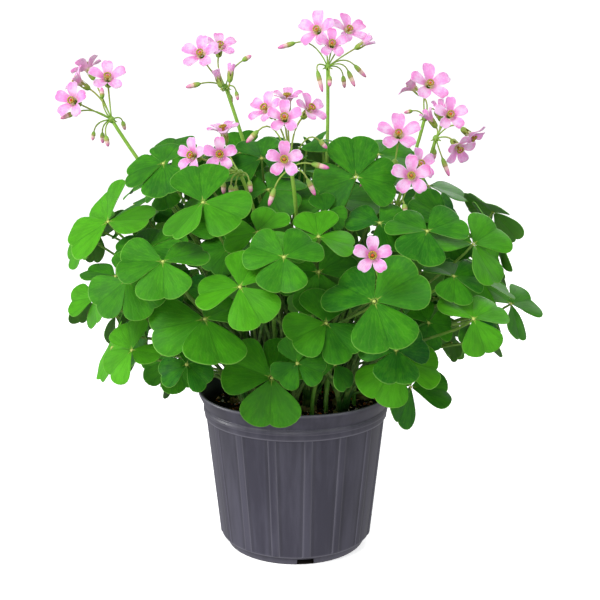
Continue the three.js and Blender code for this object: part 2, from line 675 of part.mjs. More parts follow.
// The pot's rim and wall and the soil are a turned shape, so a point is tested by radius and height
function touchesPot(samples) {
  return samples.some((p) => {
    const r = Math.hypot(p.x, p.y);
    const overRim = p.z > POT_HEIGHT + RIM_CLEARANCE;
    const outside = r > RIM_RADIUS + RIM_CLEARANCE;
    const inside = r < COLLAR_RADIUS - POT_WALL - RIM_CLEARANCE && p.z > SOIL_TOP + RIM_CLEARANCE + 1;
    return !(overRim || outside || inside);
  });
}

function isClear(leaf, placed, obstacles) {
  const stem = stemSamples(leaf.petiole, PETIOLE_STEPS, SAMPLE_SPACING);
  const free = stem.filter((p) => p.z > SOIL_TOP + FREE_HEIGHT);
  const blade = bladeSamples(leaf);
  if (touchesPot(blade) || touchesPot(free.filter((p) => p.z > SOIL_TOP + OUT_OF_NEST_HEIGHT))) {
    return false;
  }
  if (blade.some((p) => p.x < LEFT_LIMIT || p.x > RIGHT_LIMIT || Math.abs(p.y) > DEPTH_LIMIT)) {
    return false;
  }
  for (const obstacle of obstacles) {
    if (touchesBlade(leaf, obstacle.samples, STEM_TO_BLADE_CLEARANCE)
      || touchesStem(free, obstacle.samples, STEM_CLEARANCE)) {
      return false;
    }
  }
  for (const other of placed) {
    const sameCrown = other.leaf.crown === leaf.crown;
    const mine = sameCrown ? free.filter((p) => p.z > SOIL_TOP + SISTER_HEIGHT) : free;
    if (touchesBlade(leaf, other.free, STEM_TO_BLADE_CLEARANCE)
      || touchesBlade(other.leaf, free, STEM_TO_BLADE_CLEARANCE)) {
      return false;
    }
    if (touchesStem(mine, other.free, sameCrown ? SISTER_CLEARANCE : STEM_CLEARANCE)) {
      return false;
    }
    if (leaf.hub.distanceTo(other.leaf.hub) < leaf.size + other.leaf.size + 2 * BLADE_CLEARANCE
      && (touchesBlade(leaf, other.blade, BLADE_CLEARANCE)
        || touchesBlade(other.leaf, blade, BLADE_CLEARANCE))) {
      return false;
    }
  }
  placed.push({ leaf, free, blade });
  return true;
}

// The free place on a crown that lies most towards the leaf
function freeSlot(crown, hub) {
  const turn = Math.atan2(hub.y - crown.place.y, hub.x - crown.place.x);
  const angles = Array.from({ length: SLOT_COUNT }, (_, k) => (2 * Math.PI * k) / SLOT_COUNT);
  return angles.filter((angle) => !crown.taken.includes(angle))
    .sort((one, two) => Math.cos(two - turn) - Math.cos(one - turn))[0];
}

// Tries small tilts, small moves and the nearest crowns in turn, and keeps the first that is clear.
// A move is a place for the hub and the share that the leaf's size changes by.
function placeLeaf([lean, toward, fan, size], moves, crowns, placed, obstacles) {
  const seat = vec(moves[0].hub.x * SEAT_SHARE, moves[0].hub.y * SEAT_SHARE, SOIL_TOP);
  const nearest = crowns.filter((crown) => crown.taken.length < SLOT_COUNT)
    .sort((a, b) => a.place.distanceTo(seat) - b.place.distanceTo(seat))
    .slice(0, CROWN_CHOICE);
  for (const tilt of TILT_TRIES) {
    for (const { hub, scale } of moves) {
      for (const liftShare of LIFT_SHARES) {
        for (const crown of nearest) {
          const angle = freeSlot(crown, hub);
          const leaf = makeLeaf(hub, lean + tilt, toward, fan, size * scale, { crown, angle, liftShare });
          if (isClear(leaf, placed, obstacles)) {
            crown.taken.push(angle);
            return true;
          }
        }
      }
    }
  }
  return false;
}

// Moves along the line of sight from in front, which keep a leaf where it is seen
function sightMoves(hub) {
  const sight = hub.clone().sub(SIGHT_POINT);
  const distance = sight.length();
  sight.normalize();
  return SIGHT_STEPS.map((step) => (
    { hub: hub.clone().addScaledVector(sight, step), scale: 1 + step / distance }));
}

function outwardMoves(hub) {
  const outward = vec(hub.x, hub.y, 0).normalize();
  return OUTWARD_STEPS.map((step) => ({ hub: hub.clone().addScaledVector(outward, step), scale: 1 }));
}

function domeLeaf(draw, index) {
  const { lerp, clamp, radToDeg } = THREE.MathUtils;
  const bearing = (GOLDEN_ANGLE * index + FIRST_LEAF_TURN) % 360;
  const facesFront = bearing > FRONT_BEARINGS[0] && bearing < FRONT_BEARINGS[1];
  const level = lerp(...(facesFront ? FRONT_LEVELS : DOME_LEVELS), draw());
  const height = Math.asin(level);
  let inset;
  if (facesFront) {
    inset = lerp(...FRONT_INSETS, draw());
  } else {
    inset = SIDE_INSET * draw() ** 1.5 + (index > LATE_TRY ? LATE_INSET * draw() : 0);
  }
  const reach = (DOME_RADIUS - inset) * Math.cos(height);
  const stretch = (level > 0 ? DOME_RISE : DOME_DROP) - INSET_DROP * inset;
  const hub = vec(
    reach * Math.cos(rad(bearing)),
    reach * Math.sin(rad(bearing)),
    DOME_CENTRE + stretch * level,
  );
  const lean = LEAN_AT_RIM - LEAN_LOSS * radToDeg(height) + LEAN_SPREAD * (draw() - 0.5);
  const toward = bearing + TURN_SPREAD * (draw() - 0.5);
  const spin = 360 * draw();
  const fan = [0, 120, 240].map((angle) => [
    spin + angle + FAN_SPREAD * (draw() - 0.5),
    LEAFLET_DROOP + DROOP_SPREAD * (draw() - 0.5),
    TWIST_SPREAD * (draw() - 0.5),
  ]);
  const size = lerp(...LEAF_SIZES, draw());
  return { hub, pose: [clamp(lean, ...LEAN_LIMITS), toward, fan, size] };
}

function plantLeaves(crowns, obstacles) {
  const placed = [];
  for (const [x, y, z, lean, toward, fan, size] of FRONT_LEAVES) {
    placeLeaf([lean, toward, fan, size], sightMoves(vec(x, y, z)), crowns, placed, obstacles);
  }
  const draw = seededDraw(RULE_SEED);
  for (let i = 0; i < RULE_TRIES && placed.length < LEAF_COUNT; i += 1) {
    const { hub, pose } = domeLeaf(draw, i);
    placeLeaf(pose, outwardMoves(hub), crowns, placed, obstacles);
  }
  return placed.map((entry) => entry.leaf);
}

function crownSolid(crown, leaves) {
  const height = CROWN_DEPTH + CROWN_STAND;
  const stub = new THREE.CylinderGeometry(CROWN_RADIUS, CROWN_RADIUS, height, CROWN_SIDES);
  stub.rotateX(Math.PI / 2);
  stub.translate(crown.place.x, crown.place.y, SOIL_TOP - CROWN_DEPTH + height / 2);
  return fuse([manifoldOfGeometry(stub), ...leaves.map(leafSolid)]);
}

// A flower: a funnel with five petals, standing clear of the calyx that carries it

function makeFlower(hub, [dx, dy, dz, bearing, height, radius, open]) {
  const face = vec(
    Math.cos(rad(height)) * Math.cos(rad(bearing)),
    Math.cos(rad(height)) * Math.sin(rad(bearing)),
    Math.sin(rad(height)),
  );
  const centre = hub.clone().add(vec(dx, dy, dz));
  const across = UP.clone().cross(face).normalize();
  return { centre, face, across, over: face.clone().cross(across), radius, open };
}

function flowerPoint(flower, r, turn, axial) {
  return flower.centre.clone()
    .addScaledVector(flower.face, axial)
    .addScaledVector(flower.across, r * Math.cos(turn))
    .addScaledVector(flower.over, r * Math.sin(turn));
}

// Where a petal's surface is at the distance s from the throat: flat when open, steep when closed
function petalAt(flower, s) {
  const spread = rad(THREE.MathUtils.lerp(...PETAL_SPREADS, flower.open));
  const throat = THROAT_RADIUS * THREE.MathUtils.lerp(CLOSED_THROAT, 1, flower.open);
  return { r: throat + s * Math.sin(spread), axial: -THROAT_DEPTH + s * Math.cos(spread) };
}

function corollaSolid(flower) {
  const points = [];
  const triangles = [];
  const petals = 5;
  const reach = flower.radius - THROAT_RADIUS;
  const fifth = (2 * Math.PI) / petals;
  const first = Math.PI / 2;
  const outline = [];
  for (let j = 0; j < petals; j += 1) {
    const turn = first + j * fifth;
    outline.push([VALLEY_SHARE, turn - fifth / 2], [1, turn - rad(SHOULDER_ANGLE)],
      [1, turn + rad(SHOULDER_ANGLE)]);
  }
  const ringStart = (offset) => {
    const start = points.length;
    for (let j = 0; j < petals; j += 1) {
      const { r, axial } = petalAt(flower, 0);
      points.push(flowerPoint(flower, r, first + j * fifth, axial + offset));
    }
    return start;
  };
  const outlineStart = (offset) => {
    const start = points.length;
    for (const [share, turn] of outline) {
      const { r, axial } = petalAt(flower, share * reach);
      points.push(flowerPoint(flower, r, turn, axial + offset));
    }
    return start;
  };
  const half = PETAL_THICKNESS / 2;
  points.push(flowerPoint(flower, 0, 0, -COROLLA_TUBE * THROAT_WELL));
  const topRing = ringStart(half);
  const topEdge = outlineStart(half);
  const lowRing = ringStart(-half - 0.2);
  const lowEdge = outlineStart(-half);
  const base = points.length;
  for (let j = 0; j < petals; j += 1) {
    points.push(flowerPoint(flower, COROLLA_BASE_RADIUS, first + j * fifth, -COROLLA_TUBE));
  }
  const count = outline.length;
  for (let j = 0; j < petals; j += 1) {
    const next = (j + 1) % petals;
    const edge = (k) => (3 * j + k) % count;
    triangles.push([0, topRing + j, topRing + next]);
    for (let k = 0; k < 3; k += 1) {
      triangles.push([topRing + j, topEdge + edge(k), topEdge + edge(k + 1)]);
      triangles.push([lowRing + j, lowEdge + edge(k + 1), lowEdge + edge(k)]);
      triangles.push([topEdge + edge(k), lowEdge + edge(k), lowEdge + edge(k + 1)]);
      triangles.push([topEdge + edge(k), lowEdge + edge(k + 1), topEdge + edge(k + 1)]);
    }
    triangles.push([topRing + j, topEdge + edge(3), topRing + next]);
    triangles.push([lowRing + j, lowRing + next, lowEdge + edge(3)]);
    triangles.push([lowRing + j, base + j, base + next], [lowRing + j, base + next, lowRing + next]);
  }
  triangles.push([base, base + 2, base + 1], [base, base + 3, base + 2], [base, base + 4, base + 3]);
  return manifoldOf(points, triangles);
}

function calyxBase(flower) {
  return flower.centre.clone().addScaledVector(flower.face, -COROLLA_TUBE - GAP - CALYX_LENGTH);
}

function pedicelPath(hub, flower) {
  const end = calyxBase(flower);
  const bend = end.clone().addScaledVector(flower.face, -PEDICEL_BEND * end.distanceTo(hub));
  return [hub.clone().add(bend.clone().sub(hub).setLength(KNOB_OFFSET)), bend, end];
}

// The green part of an umbel: stalk, hub, flower stalks with their cups, and buds

function sideways(direction) {
  const side = direction.clone().cross(UP);
  return side.lengthSq() < 1e-4 ? vec(1, 0, 0) : side.normalize();
}

function flowerStalk(hub, flower) {
  const path = curvePoints(pedicelPath(hub, flower), PEDICEL_STEPS);
  const radii = path.map(() => PEDICEL_RADIUS);
  path.push(calyxBase(flower).addScaledVector(flower.face, CALYX_LENGTH));
  radii.push(CALYX_RADIUS);
  return tube(path, radii, 3, sideways(flower.face));
}

function budSpine(hub, [bx, by, bz, tx, ty, tz]) {
  const base = hub.clone().add(vec(bx, by, bz));
  const tip = hub.clone().add(vec(tx, ty, tz));
  const aim = tip.clone().sub(base);
  const bend = base.clone().addScaledVector(aim.clone().normalize(), -BUD_BEND * base.distanceTo(hub));
  const start = hub.clone().add(bend.clone().sub(hub).setLength(KNOB_OFFSET));
  return { base, tip, aim, corners: [start, bend, base] };
}

function budSolid(hub, bud) {
  const { base, aim, corners } = budSpine(hub, bud);
  const small = aim.length() < SMALL_BUD;
  const path = curvePoints(corners, PEDICEL_STEPS).slice(0, small ? 2 : 3);
  const radii = path.map(() => PEDICEL_RADIUS);
  const girth = Math.min(BUD_RADIUS, aim.length() * 0.22);
  for (const [share, part] of [[0.4, 1], [1, 0.3]]) {
    path.push(base.clone().addScaledVector(aim, share));
    radii.push(girth * part);
  }
  return tube(path, radii, 3, sideways(aim));
}

function stalkCorners({ root, hub, rise }) {
  const foot = vec(root[0], root[1], SOIL_TOP);
  const top = vec(...hub);
  const length = foot.distanceTo(top);
  return [
    foot,
    foot.clone().addScaledVector(UP, STALK_LIFT * length),
    top.clone().addScaledVector(vec(...rise).normalize(), -STALK_NECK * length),
    top,
  ];
}

function umbelSolid(umbel, flowers) {
  const hub = vec(...umbel.hub);
  const foot = vec(umbel.root[0], umbel.root[1], SOIL_TOP - STALK_DEPTH);
  const path = [foot, ...curvePoints(stalkCorners(umbel), STALK_STEPS)];
  const radii = path.map((_, i) => STALK_RADIUS - 0.2 * (i / STALK_STEPS));
  const parts = [tube(path, radii, 3, vec(0, 1, 0))];
  const knob = new THREE.OctahedronGeometry(KNOB_RADIUS);
  knob.translate(hub.x, hub.y, hub.z);
  parts.push(manifoldOfGeometry(knob));
  flowers.forEach((flower) => parts.push(flowerStalk(hub, flower)));
  umbel.buds.forEach((bud) => parts.push(budSolid(hub, bud)));
  return fuse(parts);
}

function umbelObstacle(umbel, flowers) {
  const hub = vec(...umbel.hub);
  const samples = stemSamples(stalkCorners(umbel), STALK_STEPS, SAMPLE_SPACING);
  for (const flower of flowers) {
    samples.push(...stemSamples(pedicelPath(hub, flower), PEDICEL_STEPS, SAMPLE_SPACING));
    samples.push(flower.centre, flowerPoint(flower, 0, 0, -COROLLA_TUBE));
    for (const share of [0.35, 0.7, 1]) {
      for (let k = 0; k < 15; k += 1) {
        const { r, axial } = petalAt(flower, share * (flower.radius - THROAT_RADIUS));
        samples.push(flowerPoint(flower, r, (2 * Math.PI * k) / 15, axial));
      }
    }
  }
  for (const bud of umbel.buds) {
    const { base, tip, corners } = budSpine(hub, bud);
    samples.push(...stemSamples(corners, PEDICEL_STEPS, SAMPLE_SPACING), base.clone().lerp(tip, 0.5), tip);
  }
  return { samples };
}

// The whole plant

function named(name, manifold, material) {
  const mesh = new THREE.Mesh(geometryOf(manifold), material);
  mesh.name = name;
  return mesh;
}

const potPlastic = new THREE.MeshStandardMaterial({ color: 0x55535d, roughness: 0.6, metalness: 0 });
const pottingSoil = new THREE.MeshStandardMaterial({ color: 0x241a14, roughness: 0.95, metalness: 0 });
const leafGreen = new THREE.MeshStandardMaterial({ color: 0x2f8a22, roughness: 0.6, metalness: 0 });
const stalkGreen = new THREE.MeshStandardMaterial({ color: 0x7fb52b, roughness: 0.55, metalness: 0 });
const petalPink = new THREE.MeshStandardMaterial({ color: 0xf49ae0, roughness: 0.6, metalness: 0 });

const plant = new THREE.Group();
const crowns = crownPlaces();
const umbelFlowers = UMBELS.map((umbel) => umbel.flowers.map((row) => makeFlower(vec(...umbel.hub), row)));
const obstacles = UMBELS.map((umbel, i) => umbelObstacle(umbel, umbelFlowers[i]));
const leaves = plantLeaves(crowns, obstacles);

plant.add(named('pot', potSolid(), potPlastic));
plant.add(named('soil', soilSolid(crowns), pottingSoil));
crowns.forEach((crown, k) => {
  const own = leaves.filter((leaf) => leaf.crown === crown);
  plant.add(named(`leaf_crown_${String(k + 1).padStart(2, '0')}`, crownSolid(crown, own), leafGreen));
});
UMBELS.forEach((umbel, i) => {
  plant.add(named(`umbel_${umbel.name}`, umbelSolid(umbel, umbelFlowers[i]), stalkGreen));
  umbelFlowers[i].forEach((flower, k) => {
    plant.add(named(`bloom_${umbel.name}${k + 1}`, corollaSolid(flower), petalPink));
  });
});

export default plant;
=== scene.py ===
"""A potted pink wood sorrel: the looks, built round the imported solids.

Lengths are in millimetres while a surface is worked out, and become metres when its mesh is made.
"""

import logging
import math
from collections.abc import Iterator
from dataclasses import dataclass, field
from enum import Enum
from typing import ClassVar

import bmesh
import bpy
import numpy as np
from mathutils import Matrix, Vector
from mathutils.bvhtree import BVHTree
from mathutils.kdtree import KDTree


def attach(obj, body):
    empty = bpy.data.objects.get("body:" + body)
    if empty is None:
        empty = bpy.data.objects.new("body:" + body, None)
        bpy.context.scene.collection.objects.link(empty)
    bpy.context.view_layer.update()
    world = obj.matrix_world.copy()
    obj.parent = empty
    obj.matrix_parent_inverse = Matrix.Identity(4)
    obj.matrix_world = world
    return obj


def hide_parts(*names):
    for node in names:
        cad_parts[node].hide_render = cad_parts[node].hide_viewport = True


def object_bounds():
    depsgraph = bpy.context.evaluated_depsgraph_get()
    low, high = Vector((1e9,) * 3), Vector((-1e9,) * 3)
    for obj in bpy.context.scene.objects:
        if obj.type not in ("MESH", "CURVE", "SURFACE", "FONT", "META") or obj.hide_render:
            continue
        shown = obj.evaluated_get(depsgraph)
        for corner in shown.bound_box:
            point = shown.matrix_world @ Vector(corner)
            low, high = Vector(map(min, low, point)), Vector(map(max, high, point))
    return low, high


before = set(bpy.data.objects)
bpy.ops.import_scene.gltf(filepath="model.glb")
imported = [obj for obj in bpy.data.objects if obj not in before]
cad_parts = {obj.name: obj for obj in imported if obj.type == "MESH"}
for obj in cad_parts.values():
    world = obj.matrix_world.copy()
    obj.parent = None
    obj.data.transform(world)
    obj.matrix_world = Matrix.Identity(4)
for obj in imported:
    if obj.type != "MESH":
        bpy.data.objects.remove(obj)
CAD_BOX = [list(corner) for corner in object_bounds()]

log = logging.getLogger("sorrel")
Array = np.ndarray

METRES = 0.001
GOLDEN_ANGLE = 137.508
SOIL_LEVEL = 84.0
SIGHT_POINT = np.array([2.5, -600.0, 270.0])
UP = np.array([0.0, 0.0, 1.0])

# Flower stalks: the root in the soil, the hub that the umbel spreads from, the way the stalk points
# there, the flowers and the buds. A flower has its place from the hub, the bearing and height it
# faces, its radius, and how far it is open. A bud has its base and tip from the hub.
UMBELS = {
    "a": (
        (-24, -2), (-99, -10, 244), (-0.51, 0, 0.86),
        [(1, -14, 24, -82, 40, 10.2, 1), (-15, 10, 30, 150, 58, 9.4, 1),
         (-20, 0, 22, -165, 34, 8.6, 0.9), (-19, -15, 11, -112, 16, 10, 1)],
        [(-5, 2, 11, -5, 2, 17), (-18, -8, 4, -25, -12, 1), (-9, -4, -6, -10, -4, -11),
         (-6, 4, -7, -6, 4, -13), (-2, -8, -8, -1, -8, -14), (5, 5, -1, 6, 7, -6)],
    ),
    "b": (
        (-6, 12), (-38, 0, 261), (-0.32, 0, 0.95),
        [(-13, -12, 19, -105, 32, 10.8, 1), (-3, 8, 24, -75, 48, 9.6, 1), (4, -9, 13, 60, 78, 3.4, 0.3),
         (-5, -7, 10, 160, 72, 3.2, 0.3)],
        [(-13, -6, 2, -21, -8, 0), (9, 4, 14, 14, 6, 17), (6, -6, -2, 7, -6, -7), (2, 5, -4, 3, 6, -9)],
    ),
    "c": (
        (14, 12), (18, 20, 272), (-0.02, 0, 1),
        [(-7, -4, 21, -115, 26, 11.4, 1), (13, 7, 22, -62, 40, 11.4, 1), (2, -20, 13, -88, 22, 8.8, 1),
         (24, -6, 15, -8, 30, 5.2, 0.45)],
        [(-18, -2, 13, -28, -4, 10), (-6, -9, -2, -3, -11, -14), (11, -6, -2, 15, -8, -11),
         (15, 4, 1, 22, 4, -6), (1, -6, -5, 1, -8, -11), (9, 8, -5, 10, 9, -12)],
    ),
    "d": (
        (-2, -12), (-2, -60, 222), (-0.15, -0.2, 0.97),
        [(-3, -19, 27, -92, 26, 8.8, 1), (-14, 1, 31, -128, 36, 9.6, 1), (11, 2, 31, -48, 38, 9.2, 1),
         (-2, 14, 37, -95, 76, 8.6, 0.9), (-3, -26, 7, -92, 12, 9, 1)],
        [(-16, -2, 19, -22, -3, 13), (14, 0, 14, 18, 0, 10), (10, -6, 3, 19, -8, 1),
         (8, -9, -4, 12, -12, -12), (-8, -5, -9, -11, -6, -18)],
    ),
    "e": (
        (-11, -20), (-28, -50, 219), (-0.37, -0.15, 0.92),
        [(-9, -17, 11, -90, 12, 8.8, 1), (-25, -8, 10, -125, 16, 9, 1), (-9, 6, 24, -120, 72, 8.6, 1)],
        [(-8, -5, -4, -8, -6, -10), (-4, -9, -5, -4, -10, -11), (-2, -2, -6, -2, -3, -12),
         (-12, 0, -2, -16, -2, -7), (5, -8, -3, 6, -9, -9)],
    ),
    "f": (
        (33, -12), (76, -10, 234), (0.25, 0, 0.97),
        [(6, -15, 14, -82, 20, 9.4, 1), (12, -13, -6, -62, -32, 9.4, 1), (22, 3, -1, -30, -36, 9, 1),
         (3, 8, 18, -100, 62, 6.4, 0.6), (-6, -2, 14, -160, 52, 5.4, 0.5)],
        [(3, -5, -10, 7, -6, -20), (0, 5, -6, 0, 6, -12)],
    ),
    "g": (
        (30, 7), (72, 10, 244), (0.22, 0, 0.97),
        [(2, -9, 20, -78, 32, 12, 1), (-9, 8, 19, 170, 40, 9.2, 0.9)],
        [(-7, -2, 4, -12, -3, 3), (6, 4, 4, 9, 6, -1)],
    ),
    "h": (
        (17, -7), (53, -22, 222), (0.12, -0.05, 0.99),
        [(1, -9, 17, -92, 40, 12, 1)],
        [(-11, -6, -5, -19, -8, -12), (-6, -7, -10, -5, -8, -17), (-8, 5, -4, -11, 6, -11),
         (4, 4, -8, 5, 4, -14)],
    ),
    "i": (
        (17, -21), (53, -46, 200), (0.25, -0.3, 0.92),
        [(5, -15, 19, -95, 14, 10.4, 1), (12, -1, 24, -60, 24, 9, 1)],
        [(-4, -4, 6, -5, -6, -1), (2, -9, 4, 3, -11, -2)],
    ),
    "j": (
        (9, -30), (40, -98, 172), (0.1, -0.5, 0.86),
        [(-5, -24, 17, -95, 16, 9, 1)],
        [],
    ),
}

# Leaves of the side that faces front: the hub, how far the upper face leans from level, the
# bearing it leans to, the three leaflets, the leaflet's length, and how bright the leaf's green
# is, from 0 to 1. A leaflet has its direction as seen from the front, counted from straight down
# towards the right, how far it droops out of the leaf's plane, and how far it is turned about its
# midrib.
FRONT_LEAVES = [
    (-12, -67, 116, 60, -92, ((-3, 16, 0), (-112, 0, 0), (143, 25, 0)), 26.5, 0.45),
    (-43, -98, 154, 48, -98, ((21, -2, -30), (-78, -2, 0), (141, 31, 0)), 27.5, 0.45),
    (-25, -115, 173, 50, -95, ((30, 6, 0), (-89, 9, 22), (159, 8, 0)), 21.8, 0.8),
    (37, -109, 165, 55, -84, ((15, -5, 0), (122, -14, -12), (-132, 28, 0)), 27, 0.18),
    (50, -84, 130, 58, -75, ((-27, 15, 0), (84, 0, -22), (-162, 8, 0)), 24, 0.85),
    (15, -98, 152, 50, -86, ((42, 9, 0), (-58, -6, 0), (180, 6, 0)), 21.5, 0.35),
    (64, -82, 194, 34, -70, ((-17, 9, 0), (119, -10, 0), (-125, 12, 0)), 21, 0.3),
    (-62, -99, 182, 42, -102, ((5, 2, 0), (117, 13, -20), (-96, -4, 0)), 22.5, 0.45),
    (-81, -88, 171, 52, -100, ((-58, 12, 0), (44, 15, 0), (168, 15, 0)), 21.5, 0.35),
    (-44, -83, 208, 46, -95, ((-41, 6, 35), (59, -6, 0), (-171, 0, 0)), 24.5, 0.5),
    (-96, -49, 194, 42, -118, ((-71, 8, 0), (80, 2, -20), (189, 0, -28)), 25.5, 0.9),
    (11, -115, 180, 60, -88, ((2, 6, 0), (126, 14, 0), (-98, 14, 0)), 20.8, 0.3),
    (11, -107, 195, 42, -92, ((-70, 12, 10), (80, 12, -20), (186, 6, 0)), 18, 0.7),
    (88, -72, 186, 42, -56, ((38, 14, -12), (136, -6, 0), (-106, 8, 0)), 23.5, 0.6),
    (86, -93, 153, 52, -76, ((24, 14, 0), (124, 10, -20), (-136, 8, 15)), 19, 0.85),
    (115, -36, 148, 50, -50, ((22, 10, -22), (120, 0, -12), (-136, 20, 0)), 21, 0.5),
    (-110, -20, 148, 55, -135, ((4, 4, 20), (-98, -12, 0), (119, 13, 0)), 17.5, 0.85),
    (97, -48, 163, 45, -50, ((-10, 12, 0), (92, 2, -25), (-140, 16, 0)), 20, 0.5),
    (-81, -80, 134, 52, -115, ((-53, 8, 0), (73, 0, -35), (-166, 0, 0)), 18.5, 0.85),
    (-62, -62, 125, 55, -108, ((22, 0, 0), (-78, 0, 0), (147, 16, 0)), 19.5, 0.3),
    (-74, -60, 182, 35, -110, ((55, 0, 0), (170, 6, 0), (-92, -6, 0)), 18.5, 0.25),
    (18, -88, 211, 26, -84, ((84, 2, 0), (182, 10, 0), (-80, 2, 0)), 24, 0.3),
    (31, -50, 217, 62, -84, ((84, 6, 0), (187, -8, 0), (-70, 12, 0)), 22.5, 0.3),
    (-68, -40, 223, 34, -115, ((-90, 4, 0), (8, 12, 0), (165, 6, 0)), 22.5, 0.35),
    (-5, -104, 185, 48, -94, ((-4, -4, 0), (131, 11, 0), (-115, 4, 0)), 20, 0.4),
    (76, -64, 196, 44, -65, ((4, 9, 0), (122, 38, 0), (-121, -4, 0)), 22, 0.3),
    (78, -78, 171, 46, -60, ((-3, 0, 0), (106, 0, 0), (206, 30, 0)), 17, 0.3),
    (-90, -68, 169, 40, -120, ((139, 24, 0), (-113, -12, 28), (-10, 6, 0)), 18, 0.5),
    (-96, -52, 128, 64, -158, ((-40, 0, 0), (75, 8, 0), (-150, 8, 0)), 19, 1.0),
    (-32, -92, 187, 46, -98, ((-32, 0, 0), (127, 30, 0), (-131, 11, 0)), 15.5, 0.3),
    (59, -70, 112, 46, -62, ((-14, 14, -42), (93, -8, -12), (-149, 8, 0)), 22, 0.2),
    (16, -52, 112, 56, -84, ((24, 18, 0), (130, 4, 0), (-76, 12, 0)), 17, 0.05),
    (-68, 4, 224, 36, -110, ((50, 4, 0), (-178, 4, 0), (-80, 18, 0)), 20, 0.35),
    (-4, -60, 217, 36, -90, ((44, 8, 0), (182, 4, 0), (-56, 6, 0)), 22, 0.3),
    (72, -16, 209, 36, -50, ((-6, 12, 0), (92, -6, -15), (-112, 8, 0)), 23, 0.35),
    (67, -72, 146, 55, -70, ((-11, 4, 0), (93, 8, 0), (-153, 12, 0)), 17.5, 0.25),
    (42, -68, 196, 44, -80, ((28, 20, 0), (127, 0, 0), (-115, 10, 0)), 21, 0.25),
    (46, 8, 224, 30, -80, ((88, 0, 0), (190, 8, 0), (-72, 12, 0)), 22, 0.25),
    (-18, -20, 224, 34, -95, ((84, 10, 0), (190, 4, 0), (-70, 14, 0)), 21, 0.2),
    (-31, 12, 225, 50, -100, ((183, 4, 0), (75, 8, 0), (-70, 8, 0)), 17, 0.25),
]


def unit(v: Array) -> Array:
    """A vector, or each row of vectors, scaled to length one."""
    return v / np.linalg.norm(v, axis=-1, keepdims=True)


def direction(bearing: float, height: float) -> Array:
    """The unit vector at a bearing round +Z and a height above level, in degrees."""
    b, h = math.radians(bearing), math.radians(height)
    return np.array([math.cos(h) * math.cos(b), math.cos(h) * math.sin(b), math.sin(h)])


def polar(reach: float, bearing: float, z: float) -> Array:
    """The point at a distance from the axis, at a bearing in degrees and at a height."""
    turn = math.radians(bearing)
    return np.array([reach * math.cos(turn), reach * math.sin(turn), z])


def circle(count: int) -> Array:
    """Angles that part a circle evenly, in radians."""
    return np.linspace(0, 2 * np.pi, count, endpoint=False)


def lerp(a: float | Array, b: float | Array, t: float | Array) -> float | Array:
    """The value a share t of the way from a to b."""
    return a + (b - a) * t


def smooth(low: float, high: float, x: Array) -> Array:
    """Rises from 0 at low to 1 at high, level at both ends: 3t squared less 2t cubed."""
    t = np.clip((x - low) / (high - low), 0, 1)
    return t * t * (3 - 2 * t)


def bezier(corners: list[Array], t: Array) -> Array:
    """Points of a Bezier curve.

    The sum over k of C(n,k) (1-t)^(n-k) t^k corner_k.

    Args:
        corners: three or four corner points.
        t: parameters from 0 to 1.

    Returns:
        One point a row.
    """
    n = len(corners) - 1
    t = np.asarray(t, float)[:, None]
    parts = [math.comb(n, k) * (1 - t) ** (n - k) * t ** k * corner for k, corner in enumerate(corners)]
    return np.sum(parts, axis=0)


class SeededDraw:
    """A plain linear congruential generator, which gives the same shares each run."""

    FACTOR = 1664525
    STEP = 1013904223
    SPAN = 2 ** 32

    def __init__(self, seed: int) -> None:
        """Starts from the seed."""
        self.state = seed

    def __call__(self) -> float:
        """The next share from 0 to 1."""
        self.state = (self.state * self.FACTOR + self.STEP) % self.SPAN
        return self.state / self.SPAN


# Surfaces


@dataclass
class Shell:
    """One closed surface before it becomes part of a mesh.

    points has a row per point in millimetres, quads and triangles index them, uv has two numbers
    and paint four for each point, and finish is the number of the material it takes.
    """

    points: Array
    quads: Array
    triangles: Array = field(default_factory=lambda: np.zeros((0, 3), int))
    uv: Array | None = None
    paint: Array | None = None
    finish: int = 0

    def filled(self) -> "Shell":
        """The shell with plain zeros where it has no uv or paint."""
        count = len(self.points)
        if self.uv is None:
            self.uv = np.zeros((count, 2))
        if self.paint is None:
            self.paint = np.zeros((count, 4))
        return self


def grid_quads(rows: int, columns: int, wrap: bool = False, start: int = 0) -> Array:
    """Quads between neighbouring points of a grid stored row by row.

    Args:
        rows: number of rows.
        columns: number of columns.
        wrap: whether the last column joins the first.
        start: index of the grid's first point.

    Returns:
        Four indices a row, in the order (i,j) (i,j+1) (i+1,j+1) (i+1,j).
    """
    i, j = np.meshgrid(np.arange(rows - 1), np.arange(columns if wrap else columns - 1), indexing="ij")
    k = (j + 1) % columns
    quads = np.stack([i * columns + j, i * columns + k, (i + 1) * columns + k, (i + 1) * columns + j], -1)
    return quads.reshape(-1, 4) + start


def fan_caps(rows: int, sides: int, flip: bool = False) -> Array:
    """Triangles that close a wrapped grid at both ends.

    The first ring closes on the point stored after the grid, and the last ring on the next one.

    Args:
        rows: number of rings.
        sides: points of a ring.
        flip: whether the triangles face the other way.

    Returns:
        Three indices a row.
    """
    k = np.arange(sides)
    after = (k + 1) % sides
    last = (rows - 1) * sides
    caps = np.concatenate([
        np.stack([np.full(sides, rows * sides), after, k], -1),
        np.stack([np.full(sides, rows * sides + 1), last + k, last + after], -1),
    ])
    return caps[:, [0, 2, 1]] if flip else caps


